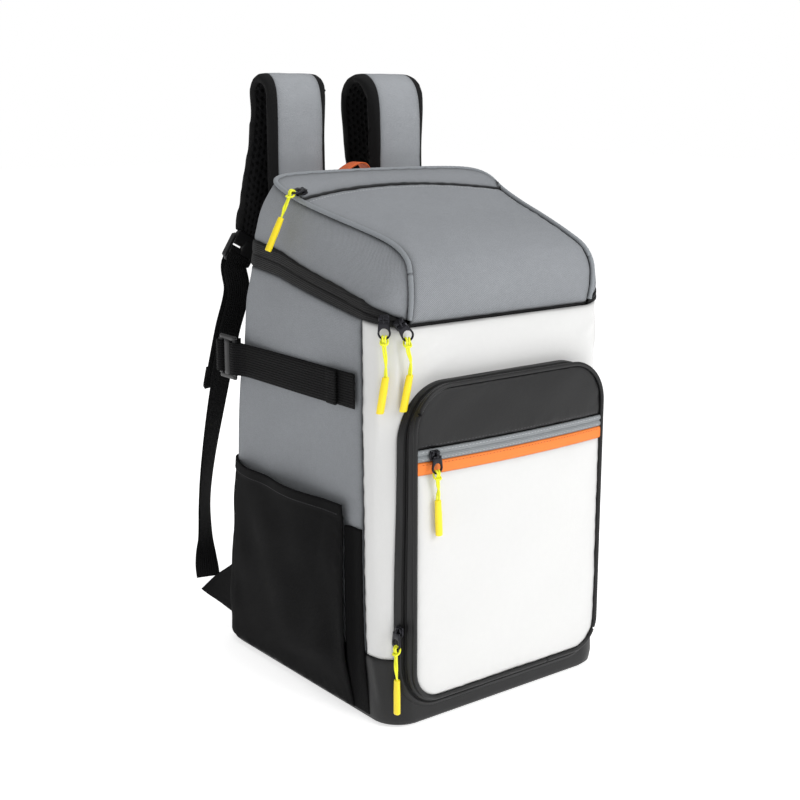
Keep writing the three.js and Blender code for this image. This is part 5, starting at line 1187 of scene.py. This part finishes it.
webbingPlaces = {}
padGrids = {}
for side, sign in sides:
    frameOfPad = padLine(sign, pad[f"{side}Arch"])
    line, width, along, out, across = frameOfPad
    half = pad["thick"] / 2 - 1.2
    b = width / 2 - 0.8
    angle = np.linspace(0, 2 * np.pi, 40, endpoint=False)
    c, s = np.cos(angle), np.sin(angle)
    ends = np.sqrt(np.clip(np.minimum(np.arange(150), 149 - np.arange(150)) / 3, 0.12, 1))
    section = [(b * np.sign(ca) * abs(ca) ** 0.45, ends * half * np.sign(sa) * abs(sa) ** 0.65) for ca, sa in zip(c, s)]
    core = loft(f"visual_strap_pad_{side}", padGrid(frameOfPad, section))
    core = puffed(core, 4.4, 4.0)
    addPiece(core, padCore, [f"strap_pad_{side}"])
    bpy.context.view_layer.update()
    c = width / 2 - pad["binding"] + 1
    shares = np.linspace(1, -1, 40)
    coverGrid = laidOn(padGrid(frameOfPad, [(c * k, half + 1.5) for k in shares]), core, 1.1)
    coverGrid = settled(coverGrid, dip=0, pucker=0, fold=0.35, foldSize=45, seed=61 + sign)
    addPiece(shell(f"visual_strap_cover_{side}", coverGrid, 1.0), strapTwill, [f"strap_cover_{side}"])
    fine = padLine(sign, pad[f"{side}Arch"], 340)
    c = fine[1] / 2 - pad["meshBinding"] + 2
    skin = laidOn(padGrid(fine, [(c * k, -half - 1.5) for k in np.linspace(-1, 1, 52)]), core, 0.5)
    skin, dip = holed(skin, pad["holePitch"], pad["holeDepth"])
    addPiece(shell(f"visual_strap_mesh_{side}", skin, 0.8), airMesh)
    inward = np.linspace(0, 1, 17)
    rims = []
    for edge in (-1, 1):
        places = []
        for t in inward:
            turnAngle = np.pi * (t - 0.5)
            onCover = edge * np.sin(turnAngle) > 0
            reach = pad["binding" if onCover else "meshBinding"] * max(abs(t - 0.5) * 2 - 0.35, 0) / 0.65
            places.append((edge * (width / 2 - reach + 0.6), edge * (half + 1.2) * np.sin(turnAngle)))
        rim = laidOn(padGrid(frameOfPad, places), core, 1.2)
        rims.append(rim)
    padGrids[side] = (coverGrid, rims)
    edges = [shell("rim", rim, 1.0) for rim in rims]
    addPiece(joined(f"visual_strap_binding_{side}", edges), bindingCloth)

    # ladder lock, and the webbing up behind its lower bar, over it and down again as the loose end
    lockWidth, lockHeight, lockThick = pad["lock"]
    end, down, out, across = line[-1], along[-1], out[-1], across[-1]
    place = lambda a, d, o: end + across * a + down * d + out * o
    plateTop, plateEnd = 0.6, 0.6 + lockHeight
    barTop = plateEnd - pad["lockBar"]
    w = lockWidth / 2
    addPiece(frameOf(
        f"visual_ladder_lock_{side}", end, down, across,
        bars=[(-w + 2, w - 2, plateTop + 3.6, 15.4, 4.4), (-w + 2, w - 2, plateTop + 17.6, 9.6, 4.6),
              (-w + 2, w - 2, plateEnd - 4.6, 8.6, 4.2)],
        rails=[(plateTop + 1, plateEnd - 2, -w + 2, 5.0), (plateTop + 1, plateEnd - 2, w - 2, 5.0),
               (plateTop + 1, plateTop + 20, -sign * (w - 9), 19)], thickness=lockThick + 2),
        blackPlastic, [f"ladder_lock_{side}"])
    bend = lockThick / np.sqrt(2) + 0.3 + pad["webbingThick"] / 2
    lockEnd = place(0, plateEnd + 3, -bend - 1.2)
    turned, tilted = np.radians(webbingRoute[:, 3]), np.radians(webbingRoute[:, 4])
    lean = (lockEnd[0] - sign * pad["lockAcross"] * halfWidth) * smooth(webbingRoute[:, 2], 0.3, 1)
    at = stack(sign * webbingRoute[:, 0] * halfWidth + lean, webbingRoute[:, 1] * halfDepth,
               webbingRoute[:, 2] * lockEnd[2])
    wide = stack(-sign * np.cos(turned) * np.cos(tilted), np.sin(turned) * np.cos(tilted), np.sin(tilted))
    at, wide = np.vstack([at, lockEnd]), np.vstack([wide, -sign * across])
    main = smoothLine(np.hstack([at, wide]), 120)
    mainAt, mainWide = main[:, :3], unit(main[:, 3:])
    turnAngle = np.linspace(0, np.pi, 13)
    turnAt = np.stack([place(0, barTop + lockThick / 2 - bend * np.sin(a), -bend * np.cos(a)) for a in turnAngle])
    alongMain = unit(np.gradient(mainAt, axis=0))
    away = unit(np.cross(alongMain, mainWide))
    away = away * np.where(away[:, 1:2] < 0, -1, 1)
    tail = np.vstack([place(0, plateEnd, bend), (mainAt + away * pad["tailGap"])[::-1][4:]])
    tailWide = np.vstack([-sign * across, mainWide[::-1][4:]])
    run = np.r_[0, np.cumsum(np.linalg.norm(np.diff(tail, axis=0), axis=1))]
    keep = run < pad["tail"] - pad["lockBar"]
    tail, tailWide = tail[keep], tailWide[keep]
    hem = tail[-1:] + unit(tail[-1:] - tail[-2:-1]) * 1.2 + unit(away[[60]]) * 1.0
    fold = tail[-8:-1][::-1] + unit(away[[60]]) * 2.0
    route = np.vstack([mainAt, turnAt, tail, hem, fold])
    wides = np.vstack([mainWide, np.tile(-sign * across, (13, 1)), tailWide, tailWide[-1:], tailWide[-8:-1][::-1]])
    both = smoothLine(np.hstack([route, wides]), 320)
    addPiece(band(f"visual_lower_webbing_{side}", both[:, :3], unit(both[:, 3:]), pad["webbing"], pad["webbingThick"]),
             webbing, [f"lower_webbing_{side}"])
    webbingPlaces[side] = (mainAt, mainWide, tail, tailWide, away)

    # the tab from the seam at the bag's back corner out to the end of the webbing, sewn as a flat triangle
    seam = [outlinePoint(share * bag["wall"], sign * 3.8, 1.2) for share in (0.044, 0.195)]
    tipStep = unit(mainAt[0] - mainAt[1]) * 6.6
    tip = [mainAt[0] + tipStep + mainWide[0] * k * 0.42 * pad["webbing"] for k in (-1, 1)]
    facing = unit(np.cross(seam[1] - seam[0], tip[0] - seam[0]))
    u, v = np.linspace(0, 1, 26)[:, None, None], np.linspace(0, 1, 16)[None, :, None]
    tabFace = lerp(lerp(seam[0], tip[0], u), lerp(seam[1], tip[1], u), v)
    tabFace = tabFace + facing * (1.2 * np.sin(np.pi * v) * (1 - u) + 0.4 * np.sin(9 * u + 3 * v))
    flip = facing[0] * sign < 0
    addPiece(outward(shell(f"visual_webbing_tab_{side}", tabFace, pad["webbingThick"], flip=flip)), bindingCloth,
             [f"webbing_tab_{side}"])

# ---------------------------------------------------------------- back panel
print("back panel")
backLook = {"voxel": 6.5, "pressure": 4.0, "inset": 6, "channels": (0.36, 0.66)}
station = stationsAlong(bag["backSeam"] + 0.02, 10 - bag["backSeam"] - 0.02, 3.2, 240)
share = np.linspace(0, 1, 110)[None]
signed = wrapped(station)[:, None]
low, high = bag["base"] + 0.3 + 0 * signed, zipUpper(signed) - 0.3
heights = lerp(low, high, share)
u = np.linspace(0, 1, len(station))[:, None]
edge = np.minimum(smooth(np.minimum(u, 1 - u), 0, 0.08), smooth(np.minimum(share, 1 - share), 0, 0.04))
channel = sum(np.exp(-((share - c) / 0.012) ** 2) for c in backLook["channels"])
proud = edge * (bag["backPad"] - 2.4) * (1 - 0.55 * channel)
core = shell("visual_back_core", outlinePoint(heights, signed, proud), 8.0)
core = puffed(core, backLook["voxel"], backLook["pressure"], limit=1.5)
addPiece(core, padCore, ["back_panel"])
bpy.context.view_layer.update()
fine = stationsAlong(bag["backSeam"] + 0.03, 10 - bag["backSeam"] - 0.03, 2.1, 240)
signed = wrapped(fine)[:, None]
heights = lerp(bag["base"] + 1.5 + 0 * signed, zipUpper(signed) - 1.5, np.linspace(0, 1, 180)[None])
skin = laidOn(outlinePoint(heights, signed, bag["backPad"] + 2.0), core, 0.4)
skin, dip = holed(skin, (8.0, 5.2), 1.1)
addPiece(shell("visual_back_mesh", skin, 0.8), airMesh)

# ---------------------------------------------------------------- grab handle
print("handle")
handle = {"span": 68, "rise": 66, "lean": 9, "width": 17, "thick": 1.6}
foot = float(zipUpper(np.array(5.0))) + 0.3
depth = float(outlinePoint(foot, 5.0)[1]) + handle["width"] / 2 + 0.6
turn = np.linspace(np.pi, 0, 110)
line = stack(handle["span"] / 2 * np.cos(turn) * (1 - 0.2 * np.sin(turn) ** 2) + handle["lean"] * np.sin(turn) ** 4, depth,
             foot + handle["rise"] * np.sin(turn) ** 0.8)
addPiece(band("visual_grab_handle", line, np.tile([0.0, 1.0, 0.0], (110, 1)), handle["width"], handle["thick"]),
         orangeWebbing, ["grab_handle"])

# ---------------------------------------------------------------- zip pulls
print("zip pulls")
pull = {"length": 12, "width": 9.5, "thick": 4.8, "tab": 16.5, "neck": 4.4, "eye": 5.8, "hole": 4.1, "tabThick": 1.8,
        "cord": 1.9, "reach": 34, "grip": 33, "gripRadius": 3.5, "twist": 2.6}
# a lark's head on the tab's ring: up, over the ring, round the front of both strands, over again and down
halfCord = np.array([
    [-0.97, 34, 0.0], [-0.97, 28, 0.0], [-0.97, 22, 0.0], [-0.97, 16, 0.1], [-1.0, 11, 0.3], [-1.0, 7.5, 0.6],
    [-1.0, 5.0, 0.7], [-1.0, 3.0, 1.1], [-1.0, 1.2, 1.9], [-1.1, -0.4, 2.1], [-1.3, -2.0, 1.1], [-1.6, -2.4, -0.6],
    [-2.1, -1.0, -1.9], [-2.7, 1.0, -1.7], [-3.1, 2.9, -0.6], [-2.9, 4.2, 1.2], [-1.9, 4.8, 2.6]])
cordRoute = np.vstack([halfCord, [[0, 4.9, 3.0]], halfCord[::-1] * [-1, 1, 1]])
twist = pull["twist"] * smooth(cordRoute[:, 1], 9, 34)  # below the knot the two strands turn about each other
cordRoute[:, 0], cordRoute[:, 2] = (cordRoute[:, 0] * np.cos(twist) - cordRoute[:, 2] * np.sin(twist),
                                    cordRoute[:, 0] * np.sin(twist) + cordRoute[:, 2] * np.cos(twist))


def eyePlate(name, at, z):
    # the tab: a flat plate that widens from its neck to a round end with a round hole; on a ray from the
    # hole's middle its outline is the circle below and the straight sides or the neck's end above
    angle = np.linspace(0, 2 * np.pi, 65)
    a, t = np.sin(angle), np.cos(angle)
    middle, eye, neck, half = pull["tab"] - pull["eye"], pull["eye"], pull["neck"], pull["tabThick"] / 2
    up = np.maximum(-t, 1e-6)
    side = eye / np.maximum(np.abs(a) + (eye - neck) * up / middle, 1e-6)
    outer = np.where(t >= 0, eye, np.minimum(side, middle / up))
    share = np.array([0, 0.08, 0.5, 0.92, 1, 1, 0.92, 0.5, 0.08, 0])
    lift = np.array([0.5, 1, 1, 1, 0.5, -0.5, -1, -1, -1, -0.5]) * half
    reach = lerp(pull["hole"], outer[:, None], share[None])
    rings = np.stack([[at(r * i, middle + r * j, z + o) for r, o in zip(row, lift)] for row, i, j in zip(reach, a, t)])
    return loft(name, rings, capped=False)


def onBody(station):
    height = float(zipLower(np.array(station)) + zipUpper(np.array(station))) / 2
    seat = outlinePoint(height, station, 0.8)
    return seat, outlinePoint(height, station, 1.8) - seat


downward = (0, 0, -1)
lidSeat = lidTopPoint(np.array(2.8), np.array(-0.955)) + [0, lidSize["zip"] / 2, 0]
pulls = (
    ("main_rear", *onBody(-1.5), (0.06, 0, -1), downward, 1.0, 0.3, 0.6, -1.2, 9),
    ("main_front", *onBody(-1.22), (0.5, -0.15, -0.85), downward, 0.9, 0.3, 1.4, -2.4, 11),
    ("pocket", facePoint(-0.84 * pocket["half"], flapTop + pocket["tape"] / 2), (0, -1, 0), downward, downward, 0.74, 0.6, 0.8, -1.0, -3),
    ("gusset", np.array([-pocket["half"] - pocket["flare"] / 2, (-0.939 * halfDepth + pocketPlane) / 2,
                         0.305 * pocket["top"]]), (-1, 0, 0), downward, (-0.01, -0.05, -1), 0.88, 3.0, 0.8, 0.6, 2),
    ("lid_pocket", lidSeat, (-0.15, -0.15, 1), (-0.85, -0.45, -0.1), (-0.38, 0.12, -0.9), 0.74, 4.2, 0.5, 0.5, 0))
for name, seat, out, tab, hang, reachShare, rise, sway, drift, lean in pulls:
    out, tab, hang = (np.asarray(p, float) for p in (out, tab, hang))
    out = unit(out)
    tab = unit(tab - out * tab.dot(out))
    across = np.cross(tab, out)
    origin = np.asarray(seat, float) + out * rise
    at = lambda a, t, o: origin + across * a + tab * t + out * o
    L, W, T = pull["length"], pull["width"], pull["thick"]
    body = [bar("body", at(-L / 2 + 1, 0, T * 0.28), at(L / 2 - 0.6, 0, T * 0.28), tab, W, T * 0.56, 3.2, 15),
            bar("body", at(-L / 2 + 1.4, -W * 0.12, T * 0.72), at(L / 2 - 1.4, -W * 0.12, T * 0.72), tab, W * 0.62, T * 0.36,
                3.0, 13)]
    bridge = smoothLine([at(0, -W * 0.36, T * 0.6), at(0, -W * 0.3, T * 1.02), at(0, 0, T * 1.22), at(0, W * 0.28, T * 1.02),
                         at(0, W * 0.34, T * 0.6)], 16)
    body.append(tube("bridge", bridge, 1.0, 8, np.tile(across, (16, 1))))
    plateZ = T - 0.3 + pull["tabThick"] / 2
    body.append(eyePlate("tab", at, plateZ))
    addPiece(joined(f"visual_slider_{name}", body), sliderMetal, [f"slider_{name}"])

    hang = unit(hang)
    barAt = (at(0, pull["tab"] - pull["eye"], plateZ)
             + unit(hang - out * hang.dot(out)) * (pull["eye"] + pull["hole"]) / 2)  # the ring's lowest point
    across = unit(np.cross(hang, out))
    facing = np.cross(across, hang)
    longer = smooth(cordRoute[:, 1:2], 5, 34)
    route = cordRoute - longer * [0, 34 * (1 - reachShare), 0]
    route[:, 0] += drift * longer[:, 0] + 0.6 * drift * np.sin(np.pi * longer[:, 0])
    route[:, 2:] += sway * np.sin(np.pi * np.clip(cordRoute[:, 1:2] / 34, 0, 1)) ** 2
    line = smoothLine(barAt + route @ np.stack([across, hang, facing]), 160)
    curve = bpy.data.curves.new(f"visual_pull_cord_{name}", "CURVE")
    curve.dimensions = "3D"
    curve.bevel_depth, curve.bevel_resolution, curve.resolution_u = pull["cord"] / 2000, 3, 1
    spline = curve.splines.new("POLY")
    spline.points.add(len(line) - 1)
    spline.points.foreach_set("co", np.c_[line * 0.001, np.ones(len(line))].ravel())
    curve.use_fill_caps = True
    cord = addPiece(bpy.data.objects.new(f"visual_pull_cord_{name}", curve), yellowCord,
                    [f"pull_cord_{name}"])
    r, gripLength = pull["gripRadius"], pull["grip"]
    profile = np.array([[0.05, 0], [0.74, 0.0], [0.86, 0.25], [0.9, 1.0], [0.93, 6.0], [1.0, 12.0],
                        [1.0, gripLength - 1.2], [0.96, gripLength - 0.45], [0.84, gripLength - 0.02], [0.05, gripLength]])
    leaning = hang * np.cos(np.radians(lean)) + across * np.sin(np.radians(lean))
    start = barAt + hang * (pull["reach"] * reachShare - 0.6) + across * drift
    grip = revolved(f"visual_pull_grip_{name}", profile[:, 0] * r, profile[:, 1], start, leaning, 28, 0.8, across)
    addPiece(grip, yellowGrip, [f"pull_grip_{name}"])

# ---------------------------------------------------------------- sewing thread
print("stitches")


def rowOn(grid, u=None, v=None, count=240, lift=0.05, closed=False):
    # a line of stitches along a grid: u and v are rows and columns, one of them swept from end to end
    normal = normalsOf(grid, closed)
    rows, columns = grid.shape[:2]
    sweep = np.linspace(0.02, 0.98, count)
    return onGrid(grid, normal, sweep * (rows - 1) if u is None else u, sweep * (columns - 1) if v is None else v, lift)


face, tape, flap, upper = faceGrid, tapeGrid, flapGrid, upperGrid
addPiece(stitches("visual_stitches_flap", [rowOn(flapGrid, v=flapGrid.shape[1] - 3.2)]), threadOrange)
addPiece(stitches("visual_stitches_tape", [rowOn(tapeGrid, v=2.4), rowOn(tapeGrid, v=tapeGrid.shape[1] - 3.4)]), threadGrey)
addPiece(stitches("visual_stitches_upper", [rowOn(upperGrid, v=1.2)]), threadDark)
addPiece(stitches("visual_stitches_lid", [rowOn(topGrid, v=topGrid.shape[1] - 4.0, count=300)]), threadGrey)
addPiece(stitches("visual_stitches_pocket", [rowOn(g, v=g.shape[1] - 4.6) for g in sidePocketGrids.values()]), threadDark)

# ---------------------------------------------------------------- camera, light and floor
print("studio")
scene = bpy.context.scene
camera = bpy.data.objects.new("camera", bpy.data.cameras.new("camera"))
camera.data.lens, camera.data.sensor_width = 60.62, 36
camera.location = (-0.81363, -1.04203, 0.56616)
angle, tilt = np.radians(37.6), np.radians(12.8)
view = Vector((np.sin(angle) * np.cos(tilt), np.cos(angle) * np.cos(tilt), -np.sin(tilt)))
camera.rotation_euler = view.to_track_quat("-Z", "Y").to_euler()
scene.collection.objects.link(camera)
scene.camera = camera

studio = {"ambient": 0.44, "backdrop": 1.0, "floor": 0.64,
          "key": ((0.7, -2.1, 1.5), 1.3, 31), "fill": ((-1.9, -0.7, 0.9), 1.6, 3.0), "top": ((0.1, 0.0, 2.3), 1.4, 15)}
world = bpy.data.worlds.new("studio")
world.use_nodes = True
tree = world.node_tree
ambient = tree.nodes["Background"]
ambient.inputs["Strength"].default_value = studio["ambient"]
ambient.inputs["Color"].default_value = (1, 1, 1, 1)
backdrop = tree.nodes.new("ShaderNodeBackground")
backdrop.inputs["Strength"].default_value = studio["backdrop"]
backdrop.inputs["Color"].default_value = (1, 1, 1, 1)
seen = tree.nodes.new("ShaderNodeMixShader")
tree.links.new(tree.nodes.new("ShaderNodeLightPath").outputs["Is Camera Ray"], seen.inputs[0])
tree.links.new(ambient.outputs[0], seen.inputs[1])
tree.links.new(backdrop.outputs[0], seen.inputs[2])
tree.links.new(seen.outputs[0], tree.nodes["World Output"].inputs["Surface"])
scene.world = world
scene.view_settings.view_transform = "Standard"

for name in ("key", "fill", "top"):
    place, size, power = studio[name]
    lamp = bpy.data.lights.new(name, "AREA")
    lamp.size, lamp.energy = size, power
    obj = bpy.data.objects.new(name, lamp)
    obj.location = place
    obj.rotation_euler = (Vector((0, 0, 0.28)) - Vector(place)).to_track_quat("-Z", "Y").to_euler()
    scene.collection.objects.link(obj)

floorMaterial = material("floor", "f4f4f4", 0.9, None, tint=0.0, seamShade=0.0, coord="object", Emission_Strength=studio["floor"],
                         Specular_IOR_Level=0.0)
floorMaterial.node_tree.nodes["Principled BSDF"].inputs["Emission Color"].default_value = (1, 1, 1, 1)
floor = meshFrom("floor", np.array([[-9000, -9000, 0], [9000, -9000, 0], [9000, 9000, 0], [-9000, 9000, 0]]),
                 [np.array([[0, 1, 2, 3]])])
floor.data.materials.append(floorMaterial)
scene.collection.objects.link(floor)
